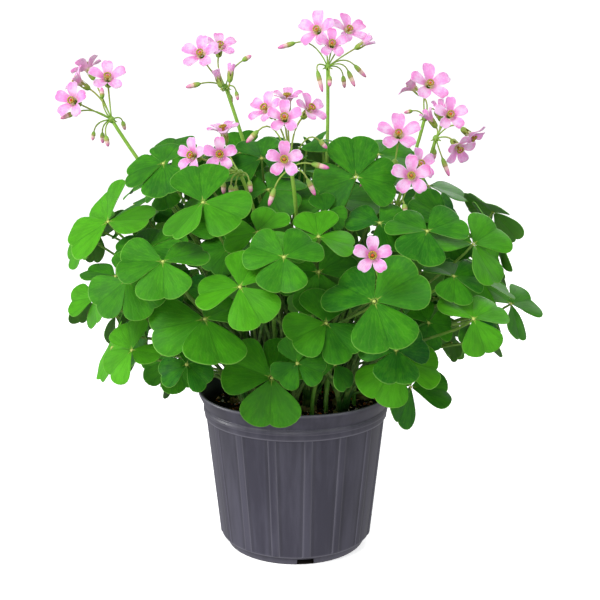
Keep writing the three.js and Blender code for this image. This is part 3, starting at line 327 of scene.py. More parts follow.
def ringed(rings: Array, ends: Array, paint: Array, ends_paint: Array, finish: int) -> Shell:
    """A closed shell from rings of points and a middle point for each end.

    Args:
        rings: grid of points, rings by points of a ring by 3.
        ends: the two middle points.
        paint: a paint row for each ring.
        ends_paint: a paint row for each middle point.
        finish: material number.

    Returns:
        The closed shell; u runs round it and v along it.
    """
    rows, sides = rings.shape[:2]
    uv = np.stack(np.broadcast_arrays(np.arange(sides) / sides, np.linspace(0, 1, rows)[:, None]), -1)
    return Shell(
        np.concatenate([rings.reshape(-1, 3), ends]),
        grid_quads(rows, sides, wrap=True),
        fan_caps(rows, sides),
        np.concatenate([uv.reshape(-1, 2), [[0.5, 0], [0.5, 1]]]),
        np.concatenate([np.repeat(paint, sides, 0), ends_paint]),
        finish,
    )


def two_sided(top: Array, bottom: Array, uv: Array, paint: Array, under: Array, finish: int) -> Shell:
    """A thin closed leaf of material from the grids of its upper and lower face.

    Both faces use the same grid; four strips of quads along the grid's border join them.

    Args:
        top: grid of points, rows by columns by 3, whose quads face up.
        bottom: the lower face's grid.
        uv: grid of uv pairs.
        paint: grid of paint rows of the upper face.
        under: the same of the lower face.
        finish: material number.

    Returns:
        The closed shell.
    """
    rows, columns = top.shape[:2]
    count = rows * columns
    upper = grid_quads(rows, columns)
    lower = upper[:, ::-1] + count
    first = np.arange(columns)
    last = first + (rows - 1) * columns
    left = np.arange(rows) * columns
    right = left + columns - 1
    border = np.concatenate([first[::-1], left[1:], last[1:], right[::-1][1:]])
    rim = np.stack([border[:-1], border[:-1] + count, border[1:] + count, border[1:]], -1)
    return Shell(
        np.concatenate([top.reshape(-1, 3), bottom.reshape(-1, 3)]),
        np.concatenate([upper, lower, rim[:, ::-1]]),
        uv=np.concatenate([uv.reshape(-1, 2)] * 2),
        paint=np.concatenate([paint.reshape(-1, 4), under.reshape(-1, 4)]),
        finish=finish,
    )


def frames_along(path: Array, side: Array) -> tuple[Array, Array]:
    """Two directions square to a path at each of its points.

    The first is side less its part along the path, and the second is square to both.
    """
    along = unit(np.gradient(path, axis=0))
    across = unit(side - along * (along @ side)[:, None])
    return across, np.cross(along, across)


def tube(path: Array, radii: Array, sides: int, side: Array, paint: Array, finish: int) -> Shell:
    """A closed round tube along a path.

    Each ring is centre + r (cos a across + sin a over); a fan on a middle point closes each end.

    Args:
        path: centres of the rings.
        radii: radius of each ring.
        sides: points of a ring.
        side: direction that the rings start from.
        paint: a paint row for each ring.
        finish: material number.

    Returns:
        The closed shell; u runs round it and v along it.
    """
    across, over = frames_along(path, side)
    turn = circle(sides)
    spokes = across[:, None] * np.cos(turn)[None, :, None] + over[:, None] * np.sin(turn)[None, :, None]
    rings = path[:, None] + spokes * np.asarray(radii, float)[:, None, None]
    return ringed(rings, path[[0, -1]], paint, paint[[0, -1]], finish)


def revolve(base: Array, axis: Array, profile: Array, sides: int, paint: Array, finish: int) -> Shell:
    """A closed solid of revolution whose profile starts and ends on its axis.

    Each ring is base + h axis + r (cos a across + sin a over).

    Args:
        base: the point that heights count from.
        axis: unit direction of the axis.
        profile: rows of radius and height from the lower pole to the upper, poles included.
        sides: points of a ring.
        paint: a paint row for each profile row, or one for all.
        finish: material number.

    Returns:
        The closed shell.
    """
    helper = np.array([1.0, 0, 0]) if abs(axis[0]) < 0.8 else np.array([0, 1.0, 0])
    across = unit(np.cross(axis, helper))
    over = np.cross(axis, across)
    turn = circle(sides)
    spokes = np.cos(turn)[:, None] * across + np.sin(turn)[:, None] * over
    centres = base + profile[:, 1:] * axis
    rings = centres[1:-1, None] + profile[1:-1, 0][:, None, None] * spokes[None]
    paint = np.broadcast_to(paint, (len(profile), 4))
    return ringed(rings, centres[[0, -1]], paint[1:-1], paint[[0, -1]], finish)


def mesh_object(name: str, shells: list[Shell], materials: list[bpy.types.Material],
                weld: float = 0.0) -> bpy.types.Object:
    """One object from shells, with a UV map, a paint attribute and smooth faces.

    Args:
        name: the object's name.
        shells: closed surfaces in millimetres.
        materials: materials by finish number.
        weld: distance in metres under which points are merged, or 0.

    Returns:
        The linked object, which sits at the origin.
    """
    shells = [shell.filled() for shell in shells]
    starts = np.cumsum([0] + [len(shell.points) for shell in shells])
    points = np.concatenate([shell.points for shell in shells]) * METRES
    points = np.clip(points, CAD_BOX[0], CAD_BOX[1])
    uv = np.concatenate([shell.uv for shell in shells])
    paint = np.concatenate([shell.paint for shell in shells])
    quads = np.concatenate([shell.quads + start for shell, start in zip(shells, starts)])
    triangles = np.concatenate([shell.triangles + start for shell, start in zip(shells, starts)])
    finish = np.concatenate(
        [np.full(len(shell.quads), shell.finish) for shell in shells]
        + [np.full(len(shell.triangles), shell.finish) for shell in shells]
    )
    corners = np.concatenate([quads.ravel(), triangles.ravel()]).astype(np.int32)
    loop_starts = np.concatenate([
        np.arange(len(quads)) * 4, len(quads) * 4 + np.arange(len(triangles)) * 3,
    ]).astype(np.int32)
    mesh = bpy.data.meshes.new(name)
    mesh.vertices.add(len(points))
    mesh.vertices.foreach_set("co", points.astype(np.float32).ravel())
    mesh.loops.add(len(corners))
    mesh.loops.foreach_set("vertex_index", corners)
    mesh.polygons.add(len(loop_starts))
    mesh.polygons.foreach_set("loop_start", loop_starts)
    mesh.polygons.foreach_set("material_index", finish.astype(np.int32))
    mesh.update(calc_edges=True)
    layer = mesh.uv_layers.new(name="UVMap")
    layer.data.foreach_set("uv", uv[corners].astype(np.float32).ravel())
    colours = mesh.attributes.new("paint", "FLOAT_COLOR", "POINT")
    colours.data.foreach_set("color", paint.astype(np.float32).ravel())
    mesh.polygons.foreach_set("use_smooth", np.ones(len(loop_starts), bool))
    mesh.validate()
    if weld:
        edit = bmesh.new()
        edit.from_mesh(mesh)
        bmesh.ops.remove_doubles(edit, verts=edit.verts, dist=weld)
        edit.to_mesh(mesh)
        edit.free()
    for material in materials:
        mesh.materials.append(material)
    made = bpy.data.objects.new(name, mesh)
    bpy.context.scene.collection.objects.link(made)
    return made


def seat(piece: bpy.types.Object, slot: str, *nodes: str) -> None:
    """Lets a piece ride on the body and lets it stand for its CAD nodes, which it hides."""
    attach(piece, "root")
    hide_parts(*nodes)
    faces = len(piece.data.polygons)
    log.info("%s: %d faces, stands for %s", piece.name, faces, ", ".join(nodes))


# Finishes


def srgb(code: str) -> tuple[float, float, float, float]:
    """A colour code such as 2f8a22 as linear red, green, blue and alpha."""
    parts = [int(code[i:i + 2], 16) / 255 for i in (0, 2, 4)]
    linear = [p / 12.92 if p <= 0.04045 else ((p + 0.055) / 1.055) ** 2.4 for p in parts]
    return linear[0], linear[1], linear[2], 1.0


def tint(code: str) -> Array:
    """A paint row that holds a colour."""
    return np.array(srgb(code))


def tints(first: str, last: str, share: Array) -> Array:
    """Paint rows from one colour to another by shares."""
    return lerp(tint(first), tint(last), share)


class Effect(Enum):
    """The shared shader node groups."""

    PATCHES = "patchy_tone"
    GRAIN = "fine_grain"
    VEINS = "fan_veins"


class NodeGraph:
    """Builds the nodes of one material or group in short calls."""

    def __init__(self, tree: bpy.types.NodeTree) -> None:
        """Takes the tree to build in."""
        self.tree = tree

    def add(self, kind: str, inputs: dict | None = None, **settings) -> bpy.types.Node:
        """Adds a node.

        Args:
            kind: the node's type name without its prefix.
            inputs: values or sockets by input name or number.
            **settings: the node's own properties.

        Returns:
            The node.
        """
        node = self.tree.nodes.new("ShaderNode" + kind)
        for name, value in settings.items():
            setattr(node, name, value)
        for name, value in (inputs or {}).items():
            self.put(node, name, value)
        return node

    def put(self, node: bpy.types.Node, name: str | int, value) -> None:
        """Sets an input's value, or links it where the value is a socket."""
        if isinstance(value, bpy.types.NodeSocket):
            self.tree.links.new(value, node.inputs[name])
        else:
            node.inputs[name].default_value = value

    def math(self, operation: str, a, b=0.0, c=0.0) -> bpy.types.NodeSocket:
        """The result of one Math node."""
        return self.add("Math", {0: a, 1: b, 2: c}, operation=operation).outputs[0]

    def mix(self, share, a, b) -> bpy.types.NodeSocket:
        """Two colours mixed by a share."""
        return self.add("Mix", {0: share, 6: a, 7: b}, data_type="RGBA").outputs[2]

    def band(self, value, low: float, high: float) -> bpy.types.NodeSocket:
        """A smooth rise of value from 0 at low to 1 at high, or a fall where low is larger."""
        ends = (0.0, 1.0) if low < high else (1.0, 0.0)
        inputs = {0: value, 1: min(low, high), 2: max(low, high), 3: ends[0], 4: ends[1]}
        return self.add("MapRange", inputs, interpolation_type="SMOOTHSTEP").outputs[0]

    def layers(self, colour, layers: list[tuple]) -> bpy.types.NodeSocket:
        """Colour codes laid over a colour in turn, each by a mask times an amount."""
        for code, mask, amount in layers:
            colour = self.mix(self.math("MULTIPLY", mask, amount), colour, srgb(code))
        return colour

    def group(self, effect: Effect, *values) -> bpy.types.Node:
        """A shared group with its own values, in the order of its inputs."""
        return self.add("Group", dict(enumerate(values)), node_tree=bpy.data.node_groups[effect.value])

    def paint(self) -> tuple[bpy.types.NodeSocket, ...]:
        """The paint attribute's colour, then its four numbers."""
        node = self.add("Attribute", attribute_name="paint")
        split = self.add("SeparateColor", {0: node.outputs["Color"]})
        return node.outputs["Color"], *split.outputs[:3], node.outputs["Alpha"]

    def place(self) -> tuple[bpy.types.NodeSocket, ...]:
        """The Object coordinates, the UV place, its u, and how far v is from the middle, 0 to 1."""
        node = self.add("TexCoord")
        split = self.add("SeparateXYZ", {0: node.outputs["UV"]})
        side = self.math("ABSOLUTE", self.math("MULTIPLY_ADD", split.outputs[1], 2.0, -1.0))
        return node.outputs["Object"], node.outputs["UV"], split.outputs[0], side


def new_group(effect: Effect, takes: dict, gives: dict) -> tuple[NodeGraph, list, bpy.types.Node]:
    """An empty node group with its sockets.

    Args:
        effect: which group it is.
        takes: default values by input name; a float, a colour of four, or None for a vector.
        gives: socket types by output name.

    Returns:
        The graph, the sockets that bring the inputs in, and the group's output node.
    """
    tree = bpy.data.node_groups.new(effect.value, "ShaderNodeTree")
    for name, value in takes.items():
        kind = "Vector" if value is None else "Float" if isinstance(value, float) else "Color"
        socket = tree.interface.new_socket(name=name, in_out="INPUT", socket_type="NodeSocket" + kind)
        if value is not None:
            socket.default_value = value
    for name, kind in gives.items():
        tree.interface.new_socket(name=name, in_out="OUTPUT", socket_type="NodeSocket" + kind)
    start = tree.nodes.new("NodeGroupInput")
    return NodeGraph(tree), list(start.outputs), tree.nodes.new("NodeGroupOutput")


def build_patches() -> None:
    """Patchy tone: two sizes of noise added, which mix a colour towards another."""
    graph, (vector, scale, amount, colour_a, colour_b, *_), end = new_group(
        Effect.PATCHES,
        {"Vector": None, "Scale": 100.0, "Amount": 0.5, "Colour A": (0.1, 0.4, 0.1, 1.0),
         "Colour B": (0.2, 0.5, 0.1, 1.0)},
        {"Colour": "Color", "Mask": "Float"},
    )
    broad = graph.add("TexNoise", {"Vector": vector, "Scale": scale, "Detail": 2.0})
    finer = graph.math("MULTIPLY", scale, 4.3)
    fine = graph.add("TexNoise", {"Vector": vector, "Scale": finer, "Detail": 3.0})
    mask = graph.band(graph.math("MULTIPLY_ADD", fine.outputs[0], 0.45, broad.outputs[0]), 0.58, 0.9)
    graph.put(end, 0, graph.mix(graph.math("MULTIPLY", mask, amount), colour_a, colour_b))
    graph.put(end, 1, mask)


def build_grain() -> None:
    """Fine grain: the height of small cells and noise, from 0 to 1 times an amount."""
    graph, (vector, scale, amount, *_), end = new_group(
        Effect.GRAIN, {"Vector": None, "Scale": 900.0, "Amount": 1.0}, {"Height": "Float"},
    )
    cells = graph.add("TexVoronoi", {"Vector": vector, "Scale": scale})
    noise = graph.add("TexNoise", {"Vector": vector, "Scale": scale, "Detail": 2.0})
    both = graph.math("MULTIPLY_ADD", cells.outputs[0], 0.5, noise.outputs[0])
    graph.put(end, 0, graph.math("MULTIPLY", both, amount))


def build_veins() -> None:
    """Fan veins: lines of equal v that part from the root of a petal or leaflet, bent by noise.

    The mask is 1 on a line: the distance of v times the count from its nearest whole number,
    under a width. Finer lines join in between where u is large.
    """
    graph, (uv, count, width, wander, *_), end = new_group(
        Effect.VEINS,
        {"UV": None, "Count": 12.0, "Width": 0.2, "Wander": 0.05},
        {"Mask": "Float", "Height": "Float"},
    )
    split = graph.add("SeparateXYZ", {0: uv})
    noise = graph.add("TexNoise", {"Vector": uv, "Scale": 7.0, "Detail": 2.0})
    shift = graph.math("MULTIPLY", graph.math("SUBTRACT", noise.outputs[0], 0.5), wander)
    v = graph.math("ADD", split.outputs[1], shift)
    masks = []
    for factor, begin in ((1.0, 0.02), (2.0, 0.45)):
        off = graph.math("PINGPONG", graph.math("MULTIPLY", graph.math("MULTIPLY", v, count), factor), 0.5)
        line = graph.math("MAXIMUM", graph.math("SUBTRACT", 1.0, graph.math("DIVIDE", off, width)), 0.0)
        masks.append(graph.math("MULTIPLY", line, graph.band(split.outputs[0], begin, begin + 0.25)))
    mask = graph.math("MAXIMUM", masks[0], graph.math("MULTIPLY", masks[1], 0.6))
    graph.put(end, 0, mask)
    graph.put(end, 1, graph.math("SUBTRACT", 1.0, mask))


@dataclass(frozen=True)
class Finish:
    """What every finish has: its name and the numbers set on the shader itself.

    rough_gain is how much the finish's own roughness mask adds.
    """

    name: str
    roughness: float = 0.55
    specular: float = 0.4
    bump_height: float = 0.0001
    bump_strength: float = 0.3
    translucent: float = 0.0
    rough_gain: float = 0.1

    def surface(self, graph: NodeGraph) -> tuple:
        """The colour, the roughness mask or None, and the bump's height."""
        raise NotImplementedError

    def build(self) -> bpy.types.Material:
        """The material."""
        material = bpy.data.materials.new(self.name)
        material.use_nodes = True
        graph = NodeGraph(material.node_tree)
        shader = material.node_tree.nodes["Principled BSDF"]
        constants = {"Roughness": self.roughness, "Specular IOR Level": self.specular,
                     "Subsurface Weight": self.translucent, "Subsurface Radius": (1.0, 0.8, 0.8),
                     "Subsurface Scale": 0.0015}
        colour, rough, height = self.surface(graph)
        for name, value in (constants | {"Base Color": colour}).items():
            graph.put(shader, name, value)
        if rough is not None:
            graph.put(shader, "Roughness", graph.math("MULTIPLY_ADD", rough, self.rough_gain, self.roughness))
        bump = graph.add("Bump", {"Strength": self.bump_strength, "Distance": self.bump_height,
                                  "Height": height})
        graph.put(shader, "Normal", bump.outputs[0])
        return material


@dataclass(frozen=True)
class LeafFinish(Finish):
    """Leaf blades. Paint: brightness, painted shade on one half, underside, a share that differs by leaf."""

    name: str = "leaf_green"
    rough_gain: float = 0.08
    deep: str = "0d5a12"
    bright: str = "52ac10"
    # Painted shade in the midrib's fold and on one half of a leaflet; also the darker streaks of the green.
    shade_and_streak: str = "083a0c"
    # Faint veins, and a painted highlight along the rim.
    rim: str = "8ccc50"
    rib: str = "d0dc6c"
    # The paler underside: partly the leaf's own paler green, partly painted light that brightens undersides
    # turned from the lamps.
    under: str = "74ab4e"

    def surface(self, graph: NodeGraph) -> tuple:
        """Mottled green with soft streaks, faint veins, painted shade in the midrib and on one half, a pale
        root and a painted rim highlight.
        """
        _, tone, dark, under, own = graph.paint()
        place, uv, u, side = graph.place()
        base = graph.mix(tone, srgb(self.deep), srgb(self.bright))
        lighter = graph.mix(0.34, base, srgb(self.bright))
        darker = graph.mix(0.42, base, srgb(self.shade_and_streak))
        patches = graph.group(Effect.PATCHES, place, 110.0, 1.0, base, lighter)
        spread = graph.add("Mapping", {"Vector": uv, "Scale": (1.6, 7.0, 1.0)})
        moved = graph.add("VectorMath", {0: spread.outputs[0], 1: place}, operation="ADD")
        streaks = graph.group(Effect.PATCHES, moved.outputs[0], 1.5, 0.5, patches.outputs[0], darker)
        veins = graph.group(Effect.VEINS, uv, 11.0, 0.16, 0.12)
        # Painted shade along the midrib's fold.
        crease = graph.math("MULTIPLY", graph.band(side, 0.04, 0.0), graph.band(u, 1.0, 0.7))
        star = graph.math("MULTIPLY", graph.band(side, 0.12, 0.02), graph.band(u, 0.2, 0.05))
        # Painted highlight along the rim.
        edge = graph.math("MAXIMUM", graph.band(u, 0.978, 0.998), graph.band(side, 0.985, 0.999))
        # The dark share and the midrib mask lay painted shade; the edge mask lays a painted highlight.
        colour = graph.layers(streaks.outputs[0], [
            (self.rim, veins.outputs[0], 0.06), (self.shade_and_streak, crease, 0.4), (self.rib, star, 0.8),
            (self.rib, graph.band(u, 0.1, 0.03), 0.4), (self.rim, edge, 0.5), (self.under, under, 0.4),
            (self.shade_and_streak, dark, 1.0),
        ])
        grain = graph.group(Effect.GRAIN, place, 1400.0, 0.4)
        return (colour, graph.math("MULTIPLY_ADD", own, 0.5, patches.outputs[1]),
                graph.math("ADD", grain.outputs[0], veins.outputs[1]))


@dataclass(frozen=True)
class StalkFinish(Finish):
    """Stalks, cups and buds. Paint: red, green, blue of the place itself."""

    name: str = "stalk_green"
    light: str = "c4e07a"

    def surface(self, graph: NodeGraph) -> tuple:
        """The painted colour with lighter patches."""
        colour = graph.paint()[0]
        place = graph.place()[0]
        lighter = graph.mix(0.35, colour, srgb(self.light))
        patches = graph.group(Effect.PATCHES, place, 160.0, 0.6, colour, lighter)
        grain = graph.group(Effect.GRAIN, place, 1800.0, 1.0)
        return patches.outputs[0], patches.outputs[1], grain.outputs[0]


@dataclass(frozen=True)
class PetalFinish(Finish):
    """Petals. UV: share from the throat to the tip and across. Paint: pinkness, outside, tube."""

    name: str = "petal_pink"
    rough_gain: float = 0.06
    pale: str = "fccef5"
    pink: str = "f79be0"
    strong: str = "ea45a4"
    throat: str = "d9dc8a"
    edge: str = "fcdcf8"

    def surface(self, graph: NodeGraph) -> tuple:
        """Mottled pink with veins, a stronger throat and tip, a pale rim and a yellow-green tube."""
        _, pinkness, outside, tube_share, _ = graph.paint()
        place, uv, u, side = graph.place()
        patches = graph.group(Effect.PATCHES, place, 210.0, 0.9, srgb(self.pink), srgb(self.pale))
        warm = graph.math("MULTIPLY", graph.band(u, 0.2, 0.3), graph.band(u, 0.62, 0.35))
        tip = graph.math("MULTIPLY", graph.band(u, 0.72, 0.98), pinkness)
        veins = graph.group(Effect.VEINS, uv, 7.0, 0.2, 0.08)
        rim = graph.math("MAXIMUM", graph.band(u, 0.955, 0.995), graph.band(side, 0.86, 0.99))
        rim = graph.math("MULTIPLY", rim, graph.band(u, 0.3, 0.45))
        colour = graph.layers(patches.outputs[0], [
            (self.strong, warm, 0.3), (self.strong, tip, 0.6), (self.strong, veins.outputs[0], 0.22),
            (self.edge, rim, 0.75), (self.pale, outside, 0.15), (self.throat, tube_share, 1.0),
        ])
        return colour, patches.outputs[1], veins.outputs[1]


@dataclass(frozen=True)
class PotFinish(Finish):
    """Thin moulded plastic. Paint: painted highlight on sharp edges, painted shade over the inside and in the
    dents beside the ribs.
    """

    name: str = "pot_grey"
    rough_gain: float = 0.12
    plastic: str = "3d3b49"
    dusty: str = "585666"
    # Painted highlight on sharp edges and rib corners.
    edge_highlight: str = "83818e"
    # Painted shade in the dents beside the ribs.
    groove_shade: str = "222127"
    # Painted shade over the inside of the pot.
    inner: str = "2c2b31"

    def surface(self, graph: NodeGraph) -> tuple:
        """Plastic with upright dusty streaks, a painted highlight on the edges, and painted shade in the
        dents and over the inside.
        """
        _, edge, inside, groove_shade, _ = graph.paint()
        place = graph.place()[0]
        stretch = graph.add("Mapping", {"Vector": place, "Scale": (1.0, 1.0, 0.06)})
        patches = graph.group(Effect.PATCHES, stretch.outputs[0], 85.0, 0.55, srgb(self.plastic),
                              srgb(self.dusty))
        # Painted shade in the dents, a painted highlight on the edges and painted shade over the inside.
        colour = graph.layers(patches.outputs[0], [
            (self.groove_shade, groove_shade, 0.75), (self.edge_highlight, edge, 0.8), (self.inner, inside, 0.5)])
        grain = graph.group(Effect.GRAIN, place, 1100.0, 0.6)
        return colour, patches.outputs[1], graph.math("ADD", grain.outputs[0], patches.outputs[1])


@dataclass(frozen=True)
class SoilFinish(Finish):
    """Potting soil and its crumbs. Paint: red, green and blue of the crumb, and whether it is one."""

    name: str = "potting_soil"
    dark: str = "0d0906"
    brown: str = "2b1c12"

    def surface(self, graph: NodeGraph) -> tuple:
        """Dark soil with brown patches, and crumbs in their own colours with some soil on them."""
        painted, *_, is_crumb = graph.paint()
        place = graph.place()[0]
        patches = graph.group(Effect.PATCHES, place, 330.0, 1.0, srgb(self.dark), srgb(self.brown))
        crumb = graph.layers(painted, [(self.brown, patches.outputs[1], 0.35)])
        colour = graph.mix(is_crumb, patches.outputs[0], crumb)
        return colour, None, graph.group(Effect.GRAIN, place, 700.0, 1.0).outputs[0]


class Palette:
    """All finishes, built once."""

    def __init__(self) -> None:
        """Builds the shared groups, then the materials."""
        build_patches()
        build_grain()
        build_veins()
        self.leaf = LeafFinish(roughness=0.48, specular=0.15, bump_height=0.00012, translucent=0.12).build()
        self.stalk = StalkFinish(roughness=0.5, bump_height=0.00005).build()
        self.petal = PetalFinish(roughness=0.6, specular=0.2, bump_height=0.00006, translucent=0.45).build()
        self.pot = PotFinish(roughness=0.36, specular=0.55, bump_height=0.00006, bump_strength=0.4).build()
        self.soil = SoilFinish(roughness=0.9, specular=0.2, bump_height=0.0006, bump_strength=0.8).build()


# Pot and soil


@dataclass
class Pot:
    """The nursery pot: a turned wall with ribs and foot notches, and a floor with drain holes."""

    height: float = 92
    collar_top: float = 82.5
    collar_bottom: float = 76
    body_top_radius: float = 51.2
    body_foot_radius: float = 43.6
    body_bottom: float = 5
    foot_radius: float = 40.2
    foot_inner_radius: float = 36.6
    wall: float = 1.7
    floor_bottom: float = 3.2
    floor_top: float = 5
    rib_count: int = 16
    rib_half_width: float = 2.2
    rib_slope: float = 0.3
    rib_proud: float = 0.5
    first_rib_angle: float = -82
    notch_half_width: float = 4.75
    notch_height: float = 2.8
    notch_every: int = 4
    drain_radius: float = 4
    drain_ring: float = 29

    def body_radius(self, z: Array) -> Array:
        """The plain wall's outside radius at a height: a straight taper."""
        slant = (self.body_top_radius - self.body_foot_radius) / (self.collar_bottom - self.body_bottom)
        return self.body_foot_radius + slant * (z - self.body_bottom)

    def profile(self) -> Array:
        """Rows of radius, height and painted edge highlight round the wall's section, from inside the foot
        over the outside to the lip and down inside to the floor."""
        foot, inner = self.foot_radius, self.foot_inner_radius
        rows = [
            (inner - 2, self.floor_bottom, 0), (inner, self.floor_bottom, 0), (inner, 0.3, 0),
            (inner + 0.3, 0, 0.2), (foot - 0.3, 0, 0.4), (foot, 0.3, 0.4), (foot + 0.36, 4.1, 0),
            (foot + 0.7, 4.65, 0), (self.body_foot_radius - 0.5, 4.85, 0.2),
            (self.body_foot_radius, 5.3, 0.9), (self.body_radius(5.9), 5.9, 0.1),
        ]
        rows += [(self.body_radius(z), z, 0.0) for z in np.linspace(6.6, 75.2, 14)]
        rows += [
            (self.body_radius(75.7), 75.7, 0), (51.6, 76.0, 0), (52.25, 76.15, 0.3),
            (52.5, 76.6, 0.9), (52.55, 77.2, 0.1), (52.75, 79.2, 0), (52.8, 79.5, 0),
            (53.05, 79.75, 0.5), (53.1, 80.2, 0.1), (53.05, 81.7, 0.1), (52.75, 82.2, 0.5),
            (52.4, 82.5, 0), (52.5, 83.0, 0), (53.1, 84.0, 0), (54.3, 86.6, 0),
            (55.3, 88.8, 0), (55.9, 90.2, 0), (56.0, 91.0, 0.3), (55.9, 91.7, 0.9),
            (55.5, 92.0, 1), (54.9, 92.0, 0.8), (54.5, 91.7, 0.2), (53.6, 89.6, 0),
            (52.4, 87.2, 0), (51.4, 85.1, 0), (51.0, 83.4, 0), (50.7, 81, 0), (50.0, 78, 0),
            (49.5, 76, 0), (self.body_radius(40) - self.wall, 40, 0),
            (self.body_radius(self.floor_top) - self.wall, self.floor_top, 0),
            (inner - 2, self.floor_top, 0),
        ]
        return np.array(rows, float)

    def wall_shell(self) -> Shell:
        """The wall as a grid of profile rows and columns round the axis.

        A column keeps its distance in millimetres from its rib's middle, so its angle is the
        rib's plus distance over radius. A rib adds its height where that distance is under its
        half width, with a short slope. The lip dips and swells a little: sines of the angle.
        """
        near = [0, 1.1, 1.9, 2.2, 2.4, 3.4, 4.65, 4.85]
        offsets = np.array([-x for x in near[:0:-1]] + near)
        pitch = 360 / self.rib_count
        between = np.linspace(0, 1, 10)[1:-1]
        rows = self.profile()
        r, z, edge = rows[:, 0], rows[:, 1], rows[:, 2]
        columns, distance, ribs = [], [], []
        for k in range(self.rib_count):
            middle = math.radians(self.first_rib_angle + pitch * k)
            columns += [middle + offset / r for offset in offsets]
            distance += list(np.abs(offsets))
            last = offsets[-1] / r
            gap = math.radians(pitch) - 2 * last
            columns += [middle + last + gap * share for share in between]
            distance += [20.0] * len(between)
            ribs += [k] * (len(offsets) + len(between))
        angle = np.stack(columns, 1)
        distance, ribs = np.array(distance), np.array(ribs)
        outside = np.arange(len(rows)) < np.argmax(z)
        on_body = outside & (z > 5.5) & (z < self.collar_bottom - 0.2)
        rise = 1 - smooth(self.rib_half_width - self.rib_slope, self.rib_half_width, distance)
        radius = r[:, None] + self.rib_proud * rise[None] * on_body[:, None]
        height = np.repeat(z[:, None], len(distance), 1)
        notch = (ribs % self.notch_every == 0) & (distance < self.notch_half_width)
        low = (z < self.notch_height) & (r > self.foot_inner_radius - 1)
        height[np.ix_(low, notch)] = self.notch_height + 0.1 * np.arange(low.sum())[:, None] / low.sum()
        lip = smooth(self.collar_top, self.height, height) * (z > self.collar_top)[:, None]
        height = height - lip * (0.5 + 0.35 * np.sin(2 * angle + 0.8) + 0.15 * np.sin(5 * angle))
        radius = radius - lip * (0.25 + 0.25 * np.sin(3 * angle + 2))
        points = np.stack([radius * np.cos(angle), radius * np.sin(angle), height], -1)
        # Paint: a painted highlight on sharp edges and rib corners, painted shade over the inside, and
        # painted shade in the dents beside the ribs.
        corner = np.exp(-((distance - self.rib_half_width + 0.1) / 0.18) ** 2)
        light = np.clip(edge[:, None] + 0.8 * corner[None] * on_body[:, None], 0, 1)
        inner = np.repeat((~outside & (z > 2))[:, None], len(distance), 1)
        dent_shade = np.exp(-((distance - self.rib_half_width - 0.75) / 0.5) ** 2)[None] * on_body[:, None]
        paint = np.stack([light, inner, dent_shade * (1 - light), np.ones_like(light)], -1)
        quads = grid_quads(len(rows) + 1, len(distance), wrap=True) % light.size
        uv = np.stack([angle, height / self.height], -1)
        return Shell(points.reshape(-1, 3), quads, uv=uv.reshape(-1, 2), paint=paint.reshape(-1, 4))

    def floor_shell(self) -> Shell:
        """The floor disc with four round holes, as a grid in each quarter.

        A point is hole edge + t (border - hole edge), where the border lies where the ray from
        the hole's middle meets the quarter's straight sides or its arc.
        """
        reach = self.foot_inner_radius - 1.2
        ring = self.drain_ring
        corner = reach * math.cos(math.pi / 4)
        exact = math.atan2(corner, corner - ring)
        turn = np.unique(np.concatenate([np.linspace(-np.pi, np.pi, 41), [exact, -exact]]))[:-1]
        c, s = np.cos(turn), np.sin(turn)
        arc = -ring * c + np.sqrt(reach ** 2 - (ring * s) ** 2)
        with np.errstate(divide="ignore"):
            upper = np.where(s - c > 1e-9, ring / (s - c), np.inf)
            lower = np.where(-s - c > 1e-9, ring / (-s - c), np.inf)
        far = np.minimum(arc, np.minimum(upper, lower))
        t = np.array([0, 0.5, 1])[:, None]
        length = self.drain_radius + t * (far - self.drain_radius)
        x, y = ring + length * c, length * s
        points, quads = [], []
        for k in range(4):
            a = math.radians(self.first_rib_angle + 90 * k)
            for z, flip in ((self.floor_top - 0.06, False), (self.floor_bottom + 0.06, True)):
                start = sum(len(p) for p in points)
                turned = [x * math.cos(a) - y * math.sin(a), x * math.sin(a) + y * math.cos(a),
                          np.full_like(x, z)]
                points.append(np.stack(turned, -1).reshape(-1, 3))
                faces = grid_quads(3, len(turn), wrap=True, start=start)
                quads.append(faces if flip else faces[:, ::-1])
            bottom, top = start, start - 3 * len(turn)
            j = np.arange(len(turn))
            n = (j + 1) % len(turn)
            quads.append(np.stack([top + j, top + n, bottom + n, bottom + j], -1))
            outer = 2 * len(turn)
            arc_side = (far >= arc - 1e-9) & (np.roll(far, -1) >= np.roll(arc, -1) - 1e-9)
            rim = np.stack([bottom + outer + j, bottom + outer + n, top + outer + n, top + outer + j], -1)
            quads.append(rim[arc_side])
        points = np.concatenate(points)
        # The floor takes the painted shade of the inside.
        paint = np.tile([0.0, 1.0, 0.0, 1.0], (len(points), 1))
        return Shell(points, np.concatenate(quads), paint=paint)

    def build(self, palette: Palette) -> None:
        """Makes the pot's piece."""
        piece = mesh_object("nursery_pot", [self.wall_shell(), self.floor_shell()], [palette.pot],
                            weld=0.000002)
        seat(piece, "pot_plastic", "pot")


